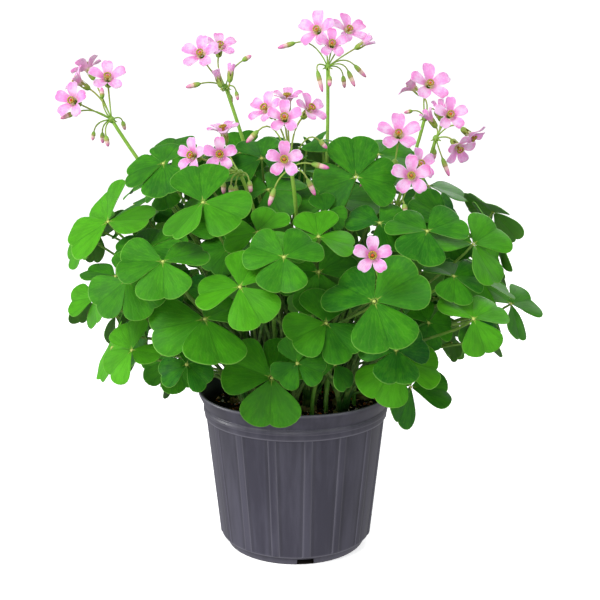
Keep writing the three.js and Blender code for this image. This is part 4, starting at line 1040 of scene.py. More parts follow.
@dataclass
class Soil:
    """The soil that fills the pot, with crumbs on its top. KINDS holds their colours and shares."""

    top: float = SOIL_LEVEL
    inner_foot_radius: float = 41.4
    bottom: float = 5.3
    crumbs: int = 1500
    crumb_reach: float = 48.2
    seed: int = 411

    KINDS: ClassVar[dict] = {"15100b": 0.34, "2e1f14": 0.16, "7a4c28": 0.14, "d9b585": 0.13, "efe6d8": 0.09,
                             "c26a2c": 0.14}

    def height_at(self, x: Array, y: Array) -> Array:
        """The top's height: two broad sines and three finer ones that cross."""
        broad = 0.6 * (2 - np.sin(0.21 * x + 1) - np.cos(0.17 * y - 0.12 * x))
        fine = (0.35 * np.sin(1.1 * x + 0.4 * y) * np.cos(0.9 * y - 0.3 * x)
                + 0.22 * np.sin(2.3 * x - 1.7 * y + 1) + 0.2 * np.cos(2.9 * y + 1.9 * x))
        return self.top - broad + 0.6 * fine - 0.3

    def body_shell(self) -> Shell:
        """The soil as rings from the top's middle out, down the wall and in under the bottom."""
        sides = 180
        turn = circle(sides)
        top = np.concatenate([np.linspace(1.2, 48.6, 42), [49.2, 49.55]])
        low = np.array([(49.45, 80.0), (49.05, 76.0), (self.inner_foot_radius, self.bottom + 0.2),
                        (self.inner_foot_radius - 0.6, self.bottom), (20.0, self.bottom)])
        radii = np.concatenate([top, low[:, 0]])
        x, y = radii[:, None] * np.cos(turn), radii[:, None] * np.sin(turn)
        z = self.height_at(x, y)
        z[len(top):] = low[:, 1:]
        rows = len(radii)
        body = np.stack([x, y, z], -1).reshape(-1, 3)
        middle = np.array([[0, 0, float(self.height_at(np.zeros(1), np.zeros(1))[0])], [0, 0, self.bottom]])
        return Shell(np.concatenate([body, middle]), grid_quads(rows, sides, wrap=True)[:, ::-1],
                     fan_caps(rows, sides, flip=True))

    def crumb_shells(self) -> list[Shell]:
        """Crumbs on the top: small lumps of 6 by 4 points whose radius is jittered.

        Each lump's point is centre + size (jitter) times a squashed sphere's point.
        """
        rng = np.random.default_rng(self.seed)
        codes = np.array([tint(code) for code in self.KINDS])
        weights = np.array(list(self.KINDS.values()))
        picks = rng.choice(len(codes), self.crumbs, p=weights / weights.sum())
        sides, rings = 6, 3
        a = circle(sides)
        b = np.linspace(-1.0, 1.0, rings)
        ball = np.stack(np.broadcast_arrays(np.cos(b)[:, None] * np.cos(a), np.cos(b)[:, None] * np.sin(a),
                                            np.sin(b)[:, None] * 0.7), -1).reshape(-1, 3)
        ball = np.concatenate([ball, [[0, 0, -0.7], [0, 0, 0.7]]])
        caps = fan_caps(rings, sides)
        quads = grid_quads(rings, sides, wrap=True)
        count = self.crumbs
        reach = self.crumb_reach * np.sqrt(rng.uniform(0, 1, count))
        turn = rng.uniform(0, 2 * np.pi, count)
        x, y = reach * np.cos(turn), reach * np.sin(turn)
        size = 0.4 + 0.95 * rng.uniform(0, 1, count) ** 2.2
        size = np.where(np.isin(picks, [0, 1]), size * 1.25, size)
        z = self.height_at(x, y) + 0.25 * size
        jitter = rng.uniform(0.7, 1.25, (count, len(ball), 1))
        yaw = rng.uniform(0, 2 * np.pi, count)
        c, s = np.cos(yaw), np.sin(yaw)
        long = rng.uniform(0.8, 1.5, count)[:, None]
        lump = ball[None] * jitter
        lx, ly, lz = lump[..., 0] * long, lump[..., 1], lump[..., 2]
        points = np.stack([x[:, None] + size[:, None] * (lx * c[:, None] - ly * s[:, None]),
                           y[:, None] + size[:, None] * (lx * s[:, None] + ly * c[:, None]),
                           z[:, None] + size[:, None] * lz], -1)
        offset = (np.arange(count) * len(ball))[:, None, None]
        return [Shell(points.reshape(-1, 3), (quads[None] + offset).reshape(-1, 4),
                      (caps[None] + offset).reshape(-1, 3),
                      paint=np.repeat(codes[picks], len(ball), 0))]

    def build(self, palette: Palette) -> None:
        """Makes the soil's piece."""
        piece = mesh_object("potting_soil_fill", [self.body_shell()] + self.crumb_shells(), [palette.soil])
        seat(piece, "soil", "soil")


# Leaves


@dataclass
class Blade:
    """The shape of one leaflet, as shares of its length, and of the leaf's small parts."""

    half_angle: float = 52
    roundness: float = 4.5
    dip: float = 0.055
    dip_angle: float = 11
    cusp: float = 0.05
    cusp_angle: float = 2.6
    fold: float = 0.13
    crown: float = 0.18
    bow: float = 0.06
    half_thickness: float = 0.16
    rows: tuple = (0.05, 0.16, 0.3, 0.45, 0.6, 0.73, 0.84, 0.92, 0.972, 1.0)
    shares: tuple = (0.0, 0.03, 0.075, 0.14, 0.23, 0.34, 0.47, 0.61, 0.74, 0.84, 0.91, 0.955, 0.983, 0.9955)
    few_rows: tuple = (0.05, 0.25, 0.5, 0.72, 0.88, 0.96, 1.0)
    few_shares: tuple = (0.0, 0.04, 0.11, 0.24, 0.42, 0.62, 0.79, 0.91, 0.975, 0.9955)

    def reach(self, share: Array) -> Array:
        """How far a leaflet reaches at an angle from its midrib.

        (1 - |share|^roundness)^(1/roundness), less a broad dip and a sharp cusp at the midrib.
        """
        angle = np.abs(share) * self.half_angle
        wedge = (1 - np.abs(share) ** self.roundness) ** (1 / self.roundness)
        dip = self.dip * np.exp(-(angle / self.dip_angle) ** 2)
        return wedge - dip - self.cusp * np.exp(-angle / self.cusp_angle)

    def height(self, x: Array, y: Array) -> Array:
        """Height over the leaflet's plane: fold |y| less crown y squared less bow x squared, with
        the fold's sharp valley rounded off."""
        side = np.sqrt(y * y + 0.0004) - 0.02
        return self.fold * side - self.crown * y * y - self.bow * x * x


BLADE = Blade()


@dataclass
class Leaf:
    """One leaf: its hub, the lean of its plane, its three leaflets, and its stalk."""

    hub: Array
    lean: float
    toward: float
    fan: tuple
    size: float
    tone: float
    crown: int = -1
    stalk: list | None = None
    fine: bool = True

    CAD_HALF_THICKNESS: ClassVar[float] = 0.35
    SLOT_REACH: ClassVar[float] = 2.9
    FIRST_RISE: ClassVar[float] = 12
    FIRST_LEAN: ClassVar[float] = 0.06
    NECK: ClassVar[tuple] = (10, 0.14)

    def __post_init__(self) -> None:
        """Works out the plane's normal and the leaflets' directions, counted round the hub."""
        self.normal = direction(self.toward, 90 - self.lean)
        n = self.normal
        down = unit(np.array([0, -n[2], n[1]]))
        across = np.cross(n, down)
        self.leaflets = []
        for angle, droop, twist in sorted((a % 360, d, t) for a, d, t in self.fan):
            a, d, t = np.radians([angle, droop, twist])
            out = down * math.cos(a) + across * math.sin(a)
            along = out * math.cos(d) - n * math.sin(d)
            level = np.cross(n, out)
            left = level * math.cos(t) + np.cross(along, level) * math.sin(t)
            self.leaflets.append((out, along, left, np.cross(along, left)))

    def moved(self, hub: Array, tilt: float, scale: float) -> "Leaf":
        """The same leaf at another hub, tilted by degrees and scaled."""
        return Leaf(hub, self.lean + tilt, self.toward, self.fan, self.size * scale, self.tone)

    def middle(self) -> Array:
        """The point on the CAD leaf's upper face over its hub."""
        return self.hub + self.normal * self.CAD_HALF_THICKNESS

    def stalk_corners(self, crown: Array, slot: float, lift_share: float) -> list[Array]:
        """The corners of the stalk's curve from a place on a crown.

        Args:
            crown: the crown's middle on the soil.
            slot: angle of the place on the crown, in radians.
            lift_share: how much of the climb is straight up.

        Returns:
            Root, lift, neck and hub.
        """
        root = crown + self.SLOT_REACH * np.array([math.cos(slot), math.sin(slot), 0])
        outward = (self.hub - root) * [1, 1, 0]
        rise = self.FIRST_RISE + lift_share * (self.hub[2] - root[2])
        lift = root + UP * rise + self.FIRST_LEAN * outward
        neck = self.NECK[0] + self.NECK[1] * np.linalg.norm(self.hub - root)
        return [root, lift, self.hub - self.normal * neck, self.hub]

    def rings(self, corners: list[Array]) -> Array:
        """The corner points of the CAD stalk's middle rings, to know a stalk again by."""
        path = bezier(corners, np.linspace(1, 0, 5))
        path[0] = path[0] - self.normal * self.CAD_HALF_THICKNESS
        points = []
        for i in (1, 2, 3):
            along = unit(path[i - 1] - path[i + 1])
            for out, *_ in self.leaflets:
                spoke = unit(out - along * (out @ along))
                points.append(path[i] + spoke * lerp(0.8, 1.15, i / 4))
        return np.array(points)


@dataclass
class Dome:
    """The dome of leaves that the foliage keeps to, by a seeded rule."""

    centre: float = 150
    radius: float = 121
    rise: float = 86
    drop: float = 72
    levels: tuple = (-0.6, 0.98)
    front: tuple = (195, 345)
    front_levels: tuple = (-0.1, 0.98)
    front_insets: tuple = (16, 42)
    side_inset: float = 12
    late: int = 250
    late_inset: float = 24
    inset_drop: float = 0.6
    first_turn: float = 40
    sizes: tuple = (18, 25)
    seed: int = 5081
    tries: int = 900

    def leaves(self) -> Iterator[Leaf]:
        """The leaves that the rule proposes, in order.

        A hub lies at a bearing that grows by the golden angle and at a drawn height of a flattened
        ball, a drawn distance inside it. It leans outward, the more the lower it hangs.
        """
        draw = SeededDraw(self.seed)
        for index in range(self.tries):
            bearing = (GOLDEN_ANGLE * index + self.first_turn) % 360
            faces_front = self.front[0] < bearing < self.front[1]
            level = lerp(*(self.front_levels if faces_front else self.levels), draw())
            height = math.asin(level)
            if faces_front:
                inset = lerp(*self.front_insets, draw())
            else:
                inset = self.side_inset * draw() ** 1.5
                inset += self.late_inset * draw() if index > self.late else 0
            reach = (self.radius - inset) * math.cos(height)
            stretch = (self.rise if level > 0 else self.drop) - self.inset_drop * inset
            hub = polar(reach, bearing, self.centre + stretch * level)
            lean = 60 - 0.62 * math.degrees(height) + 24 * (draw() - 0.5)
            toward = bearing + 40 * (draw() - 0.5)
            spin = 360 * draw()
            fan = tuple((spin + angle + 8 * (draw() - 0.5), 12 + 22 * (draw() - 0.5), 40 * (draw() - 0.5))
                        for angle in (0, 120, 240))
            yield Leaf(hub, min(max(lean, 6), 76), toward, fan, lerp(*self.sizes, draw()), 0.3)


class LeafPlan:
    """Finds the leaves that the CAD crowns hold, from the plan that they were placed by.

    Each leaf was moved along the line of sight or outward, tilted and given a crown until it was
    clear, so the moves are gone through in the same order until one matches the solids.
    """

    MATCH = 0.03
    LEAF_COUNT = 80
    CROWNS = 14
    TONE_SEED = 77
    CROWN_SPREAD = 41
    FIRST_CROWN = 20
    SLOTS = 7
    TILTS = (0, 8, -8, 16)
    SIGHT_STEPS = (0, 4, -4, 8, -8, 12, 16, -12, 21, 27, 34, 42, 50, 58)
    OUTWARD_STEPS = (0, -4, 4, -8, 8, -13, 12)
    LIFT_SHARES = (0.42, 0.58, 0.3)

    def __init__(self) -> None:
        """Collects the crowns' points."""
        self.places = []
        self.points = []
        self.owner = []
        self.missing = []
        nodes = [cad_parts[self.node(k)].data for k in range(self.CROWNS)]
        self.tree = KDTree(sum(len(mesh.vertices) for mesh in nodes))
        for k, mesh in enumerate(nodes):
            reach = self.CROWN_SPREAD * math.sqrt((k + 0.6) / self.CROWNS)
            self.places.append(polar(reach, self.FIRST_CROWN + GOLDEN_ANGLE * k, SOIL_LEVEL))
            co = np.zeros(len(mesh.vertices) * 3)
            mesh.vertices.foreach_get("co", co)
            co = co.reshape(-1, 3) / METRES
            self.points.append(co)
            for point in co:
                self.tree.insert(Vector(point), len(self.owner))
                self.owner.append(k)
        self.tree.balance()

    @staticmethod
    def node(k: int) -> str:
        """The name of crown number k."""
        return f"leaf_crown_{k + 1:02d}"

    @staticmethod
    def along_sight(leaf: Leaf, steps: tuple) -> list[tuple]:
        """Moves of a leaf along the line of sight from in front, with the share its size changes by."""
        sight = leaf.hub - SIGHT_POINT
        distance = float(np.linalg.norm(sight))
        return [(leaf.hub + sight / distance * step, 1 + step / distance) for step in steps]

    def crown_of(self, leaf: Leaf) -> int:
        """The crown whose solid has this leaf's middle point, or -1."""
        _, index, distance = self.tree.find(Vector(leaf.middle()))
        return self.owner[index] if distance < self.MATCH else -1

    def seat_on(self, leaf: Leaf, k: int) -> None:
        """Gives the leaf the stalk whose rings match crown k's points best."""
        best, found = -1, None
        for lift_share in self.LIFT_SHARES:
            for slot in range(self.SLOTS):
                corners = leaf.stalk_corners(self.places[k], 2 * math.pi * slot / self.SLOTS, lift_share)
                gaps = np.linalg.norm(self.points[k][None] - leaf.rings(corners)[:, None], axis=2).min(1)
                score = int((gaps < self.MATCH).sum())
                if score > best:
                    best, found = score, corners
        leaf.crown, leaf.stalk = k, found

    def first_match(self, plan: Leaf, hubs: list) -> Leaf | None:
        """The first tilt and move of a planned leaf that the solids hold.

        Args:
            plan: the leaf as it was planned.
            hubs: places to try and the share that the size changes by.

        Returns:
            The leaf with its crown and stalk, or None.
        """
        for tilt in self.TILTS:
            for hub, scale in hubs:
                leaf = plan.moved(hub, tilt, scale)
                k = self.crown_of(leaf)
                if k >= 0:
                    self.seat_on(leaf, k)
                    return leaf
        return None

    def front(self) -> list[Leaf]:
        """The leaves placed one by one. Those that the solids don't hold are kept as missing."""
        found = []
        for x, y, z, lean, toward, fan, size, tone in FRONT_LEAVES:
            plan = Leaf(np.array([x, y, z], float), lean, toward, fan, size, tone)
            leaf = self.first_match(plan, self.along_sight(plan, self.SIGHT_STEPS))
            if leaf is None:
                self.missing.append(plan)
            else:
                found.append(leaf)
        return found

    def dome(self, already: int) -> list[Leaf]:
        """The leaves placed by the seeded rule, after those placed one by one."""
        tones = np.random.default_rng(self.TONE_SEED)
        found = []
        for plan in Dome().leaves():
            if already + len(found) >= self.LEAF_COUNT:
                break
            outward = unit(plan.hub * [1, 1, 0])
            leaf = self.first_match(plan, [(plan.hub + outward * step, 1.0) for step in self.OUTWARD_STEPS])
            if leaf is not None:
                outer = np.clip((np.linalg.norm(leaf.hub * [1, 1, 0]) - 60) / 60, 0, 1)
                leaf.tone = float(tones.uniform(0.15, 0.55) + 0.35 * outer * (tones.uniform() > 0.55))
                found.append(leaf)
        return found


class LeafMaker:
    """Turns leaves into closed shells."""

    SEED = 905
    LEAF, STALK = 0, 1
    SIDE = np.array([1.0, 0.2, 0.1])
    PLAIN_ROWS = (0.06, 0.3, 0.6, 0.86, 1.0)
    PLAIN_SHARES = (0.0, 0.12, 0.34, 0.6, 0.84, 0.97)

    def __init__(self) -> None:
        """Seeds the ripples of the blades."""
        self.rng = np.random.default_rng(self.SEED)

    @staticmethod
    def grid(rows: tuple, shares: tuple) -> tuple[Array, ...]:
        """The flat grid of a leaflet.

        Args:
            rows: shares of the way from the root to the rim.
            shares: shares of the half angle on one side of the midrib.

        Returns:
            Row shares, angle shares from side to side, angles, and x and y as shares of the length.
        """
        t = np.array([-share for share in shares[:0:-1]] + list(shares))
        s = np.array(rows)[:, None]
        angle = np.radians(t * BLADE.half_angle)
        reach = s * BLADE.reach(t)
        return s, t, angle, reach * np.cos(angle), reach * np.sin(angle)

    @staticmethod
    def placed(leaf: Leaf, leaflet: tuple, x: Array, y: Array, height: Array) -> Array:
        """The points of a leaflet's grid in millimetres."""
        _, along, left, up = leaflet
        return leaf.hub + leaf.size * (x[..., None] * along + y[..., None] * left + height[..., None] * up)

    def blades(self, leaf: Leaf) -> list[Shell]:
        """The three leaflets as closed shells.

        A point is hub + along x + left y + up h(x, y), where x and y are the row's share times
        reach, times the cosine and sine of the angle, all times the leaflet's length. The height
        adds a low ripple, a sine of x and y with a seeded start, that grows with x, and a sway of
        the rim, a sine of the angle.
        """
        rows, shares = (BLADE.rows, BLADE.shares) if leaf.fine else (BLADE.few_rows, BLADE.few_shares)
        s, t, angle, x, y = self.grid(rows, shares)
        shells = []
        own = self.rng.uniform()
        for leaflet in leaf.leaflets:
            phase = self.rng.uniform(0, 6.28, 3)
            bend = self.rng.uniform(-0.05, 0.05, 2)
            ripple = 0.016 * x * np.sin(7 * y + phase[0]) + 0.012 * x * np.sin(9 * x + phase[1])
            rim = 0.017 * s ** 5 * np.sin(8 * angle + phase[2])
            height = BLADE.height(x, y) + ripple + rim + bend[0] * y * np.abs(y) + bend[1] * x * x * 0.6
            middle, lift = self.placed(leaf, leaflet, x, y, height), leaflet[3] * BLADE.half_thickness
            uv = np.stack(np.broadcast_arrays(s, (t[None] + 1) / 2), -1)
            paint = np.zeros((*x.shape, 4))
            paint[..., 0] = np.clip(leaf.tone + self.rng.uniform(-0.14, 0.14), 0, 1)
            # Painted shade: one half of each leaflet, chosen at random, darker by a share up to 0.2.
            paint[..., 1] = self.rng.uniform(0, 0.2) * (t[None] * self.rng.choice([-1, 1]) > 0)
            paint[..., 3] = own
            under = paint.copy()
            under[..., 2] = 1
            shells.append(two_sided((middle + lift)[::-1], (middle - lift)[::-1], uv[::-1], paint[::-1],
                                    under[::-1], self.LEAF))
        return shells

    def plain_blades(self, leaf: Leaf, clearance: float) -> list[Shell]:
        """The three leaflets with few faces and the clearance on both sides, to test for room."""
        _, _, _, x, y = self.grid(self.PLAIN_ROWS, self.PLAIN_SHARES)
        height = BLADE.height(x, y)
        blank = np.zeros((*x.shape, 4))
        shells = []
        for leaflet in leaf.leaflets:
            middle, lift = self.placed(leaf, leaflet, x, y, height), leaflet[3] * clearance
            shells.append(two_sided(middle + lift, middle - lift, blank[..., :2], blank, blank, 0))
        return shells

    def stalk(self, leaf: Leaf) -> Shell:
        """The leaf's stalk, a tube along its curve that thins towards the blade."""
        t = np.linspace(0, 1, 13)
        path = bezier(leaf.stalk, t)
        path[-1] = path[-1] - leaf.normal * 0.3
        radii = 0.98 - 0.36 * t
        # Dark green at the root, lighter towards the blade: painted shade among the crowded stalks.
        return tube(path, radii, 7, self.SIDE, tints("1f5212", "7fb038", t[:, None] ** 2), self.STALK)

    def knob(self, leaf: Leaf) -> Shell:
        """The small swelling where three leaflets meet, a squashed ball round the hub."""
        profile = np.array([(0, -0.75), (0.7, -0.55), (1.05, 0.0), (0.75, 0.38), (0, 0.5)])
        return revolve(leaf.hub, leaf.normal, 0.85 * profile, 9, tint("c4cf6a"), self.STALK)

    def shells(self, leaf: Leaf) -> list[Shell]:
        """All of one leaf."""
        return [*self.blades(leaf), self.stalk(leaf), self.knob(leaf)]


@dataclass
class Thicket:
    """Everything that a new leaf has to keep clear of, as trees of faces."""

    maker: LeafMaker
    blade_clearance: float = 0.55
    stalk_clearance: float = 0.5
    stalk_radius: float = 0.8
    crowded: float = 20
    parts: list = field(default_factory=list)

    def tree_of(self, shells: list[Shell]) -> tuple[Array, Array, BVHTree]:
        """A tree of the faces of shells, with the corners of their box."""
        starts = np.cumsum([0] + [len(shell.points) for shell in shells])
        points = np.concatenate([shell.points for shell in shells])
        faces = []
        for shell, start in zip(shells, starts):
            faces += (shell.quads + start).tolist() + (shell.triangles + start).tolist()
        return points.min(0), points.max(0), BVHTree.FromPolygons(points.tolist(), faces)

    def leaf_trees(self, leaf: Leaf) -> tuple:
        """A tree of the leaf's blades and one of its stalk above the crowded part over the crown."""
        t = np.linspace(0, 0.97, 12)
        path = bezier(leaf.stalk, t)
        free = path[:, 2] > SOIL_LEVEL + self.crowded
        free[-3:] = True
        path = path[free]
        radii = np.full(len(path), self.stalk_radius + self.stalk_clearance)
        stalk = tube(path, radii, 5, LeafMaker.SIDE, np.zeros((len(path), 4)), 0)
        return self.tree_of(self.maker.plain_blades(leaf, self.blade_clearance)), self.tree_of([stalk])

    def add(self, *trees: tuple) -> None:
        """Adds trees that are there from now on."""
        self.parts += trees

    def is_clear(self, trees: tuple) -> bool:
        """Whether none of the trees meets what is there."""
        for low, high, tree in trees:
            for other_low, other_high, other in self.parts:
                if np.all(low < other_high) and np.all(other_low < high) and tree.overlap(other):
                    return False
        return True


@dataclass
class Undergrowth:
    """Leaves that fill in between and behind those of the solids, seated on the same crowns."""

    plan: LeafPlan
    thicket: Thicket
    count: int = 110
    tries: int = 3600
    seed: int = 5150
    sizes: tuple = (11, 20)
    inner: float = 0.22
    deep: float = 0.68
    front_low: float = 112
    missing_low: float = 88
    steps: tuple = (0, 3, -3, 6, -6, 9, 13, -9, 18, 24, 32, 40)
    tilts: tuple = (0, 10, -10)
    low: float = 98
    high: float = 236
    box: float = 1.5
    front_edge: float = -15
    back_low: float = 95
    pot_clear: float = 59
    near_crowns: int = 4
    lift_shares: tuple = (0.5, 0.35)
    shrinks: tuple = (1, 0.85)

    def in_box(self, leaf: Leaf, front_low: float) -> bool:
        """Whether the leaf's blades keep inside the box of the solids, and above a height in front."""
        points = np.concatenate([shell.points for shell in self.thicket.maker.plain_blades(leaf, 0.5)])
        corners = np.array(CAD_BOX) / METRES
        reach = np.linalg.norm(points[:, :2], axis=1)
        in_front = points[:, 1] < self.front_edge
        high_enough = points[:, 2] > np.where(in_front, front_low, self.back_low)
        beside_pot = (reach > self.pot_clear) & ~in_front
        inside = (points > corners[0] + self.box) & (points < corners[1] - self.box)
        return bool(inside.all() and (high_enough | beside_pot).all())

    def seated(self, leaf: Leaf, front_low: float) -> bool:
        """Gives the leaf a stalk from one of the nearest crowns, and keeps it if it has room."""
        if not self.in_box(leaf, front_low):
            return False
        seat = leaf.hub * [0.3, 0.3, 0]
        order = np.argsort([np.linalg.norm((place - seat)[:2]) for place in self.plan.places])
        for k in order[:self.near_crowns]:
            place = self.plan.places[k]
            turn = math.atan2(leaf.hub[1] - place[1], leaf.hub[0] - place[0])
            for lift_share in self.lift_shares:
                leaf.crown, leaf.stalk = int(k), leaf.stalk_corners(place, turn, lift_share)
                trees = self.thicket.leaf_trees(leaf)
                if self.thicket.is_clear(trees):
                    self.thicket.add(*trees)
                    return True
        return False

    def put_back(self) -> list[Leaf]:
        """The leaves placed one by one that the solids had no room for."""
        found = []
        for plan in self.plan.missing:
            moves = [(tilt, hub, scale * share) for share in self.shrinks for tilt in self.tilts
                     for hub, scale in self.plan.along_sight(plan, self.steps)]
            for tilt, hub, scale in moves:
                leaf = plan.moved(hub, tilt, scale)
                if self.seated(leaf, self.missing_low):
                    found.append(leaf)
                    break
        return found

    def fill(self) -> list[Leaf]:
        """Smaller leaves inside the dome.

        A hub lies at a drawn bearing, height and share of the dome's radius at that height, and
        leans outward by 64 degrees less half of its angle above the dome's middle, more or less.
        One deep inside leans to the front or to the back instead, so that it closes the view
        through the plant.
        """
        rng = np.random.default_rng(self.seed)
        dome = Dome()
        found = []
        for _ in range(self.tries):
            if len(found) >= self.count:
                break
            bearing = rng.uniform(0, 360)
            z = rng.uniform(self.low, self.high)
            level = np.clip((z - dome.centre) / (dome.rise if z > dome.centre else dome.drop), -0.97, 0.97)
            share = lerp(self.inner, 0.97, rng.uniform() ** 0.6)
            reach = dome.radius * math.sqrt(1 - level * level) * share
            hub = polar(reach, bearing, z)
            lean = 64 - 0.5 * math.degrees(math.asin(level)) + rng.uniform(-22, 14)
            toward = bearing + rng.uniform(-35, 35)
            if share < self.deep:
                toward = rng.choice([-90, 90]) + rng.uniform(-40, 40)
            spin = rng.uniform(0, 360)
            fan = tuple((spin + angle + rng.uniform(-8, 8), rng.uniform(-4, 24), rng.uniform(-20, 20))
                        for angle in (0, 120, 240))
            # A filled-in leaf gets a dark green, tone 0 to 0.28: painted shade deep in the foliage.
            leaf = Leaf(hub, min(max(lean, 8), 76), toward, fan, lerp(*self.sizes, rng.uniform()),
                        rng.uniform(0.0, 0.28), fine=False)
            if self.seated(leaf, self.front_low):
                found.append(leaf)
        return found


@dataclass
class Foliage:
    """All leaves, crown by crown."""

    flowering: "Flowering"
    plan: LeafPlan = field(default_factory=LeafPlan)
    maker: LeafMaker = field(default_factory=LeafMaker)

    def stub(self, k: int) -> Shell:
        """The crown in the soil that the stalks grow from: a low knobbly dome."""
        profile = np.array([(0, -9), (4.2, -9), (4.55, -6), (4.6, -1), (4.4, 0.6), (3.6, 1.5), (2, 1.95),
                            (0, 2)])
        return revolve(self.plan.places[k], UP, profile, 14, tint("6a5a2c"), LeafMaker.STALK)

    def build(self, palette: Palette) -> None:
        """Makes one piece for each crown.

        Args:
            palette: the finishes.
        """
        leaves = self.plan.front()
        fronts = len(leaves)
        leaves += self.plan.dome(fronts)
        log.info("%d leaves found in the solids, %d of them placed one by one", len(leaves), fronts)
        thicket = Thicket(self.maker)
        for shells in self.flowering.room():
            thicket.add(thicket.tree_of(shells))
        for leaf in leaves:
            thicket.add(*thicket.leaf_trees(leaf))
        undergrowth = Undergrowth(self.plan, thicket)
        back = undergrowth.put_back()
        filled = undergrowth.fill()
        log.info("%d leaves put back, %d filled in", len(back), len(filled))
        for k in range(self.plan.CROWNS):
            shells = [self.stub(k)]
            for leaf in leaves + back + filled:
                if leaf.crown == k:
                    shells += self.maker.shells(leaf)
            piece = mesh_object(f"leaves_{k + 1:02d}", shells, [palette.leaf, palette.stalk])
            seat(piece, "leaf", self.plan.node(k))


# Flowers


@dataclass
class Flower:
    """Where one flower is and how it opens. Sizes are those of the solids it stands for."""

    centre: Array
    face: Array
    radius: float
    open: float
    tube: float = 6.5
    calyx: float = 4
    gap: float = 0.3

    def __post_init__(self) -> None:
        """Works out the two directions in the flower's plane."""
        self.across = unit(np.cross(UP, self.face))
        self.over = np.cross(self.face, self.across)

    @classmethod
    def from_row(cls, hub: Array, row: tuple) -> "Flower":
        """The flower that a row of the list describes."""
        dx, dy, dz, bearing, height, radius, open_share = row
        return cls(hub + [dx, dy, dz], direction(bearing, height), radius, open_share)

    def cup_base(self) -> Array:
        """Where the flower's own stalk ends and its green cup begins."""
        return self.centre - self.face * (self.tube + self.gap + self.calyx)

    def at(self, r: Array, turn: Array, axial: Array) -> Array:
        """Points by radius, angle and height along the flower's axis."""
        return (self.centre + axial[..., None] * self.face
                + (r * np.cos(turn))[..., None] * self.across + (r * np.sin(turn))[..., None] * self.over)


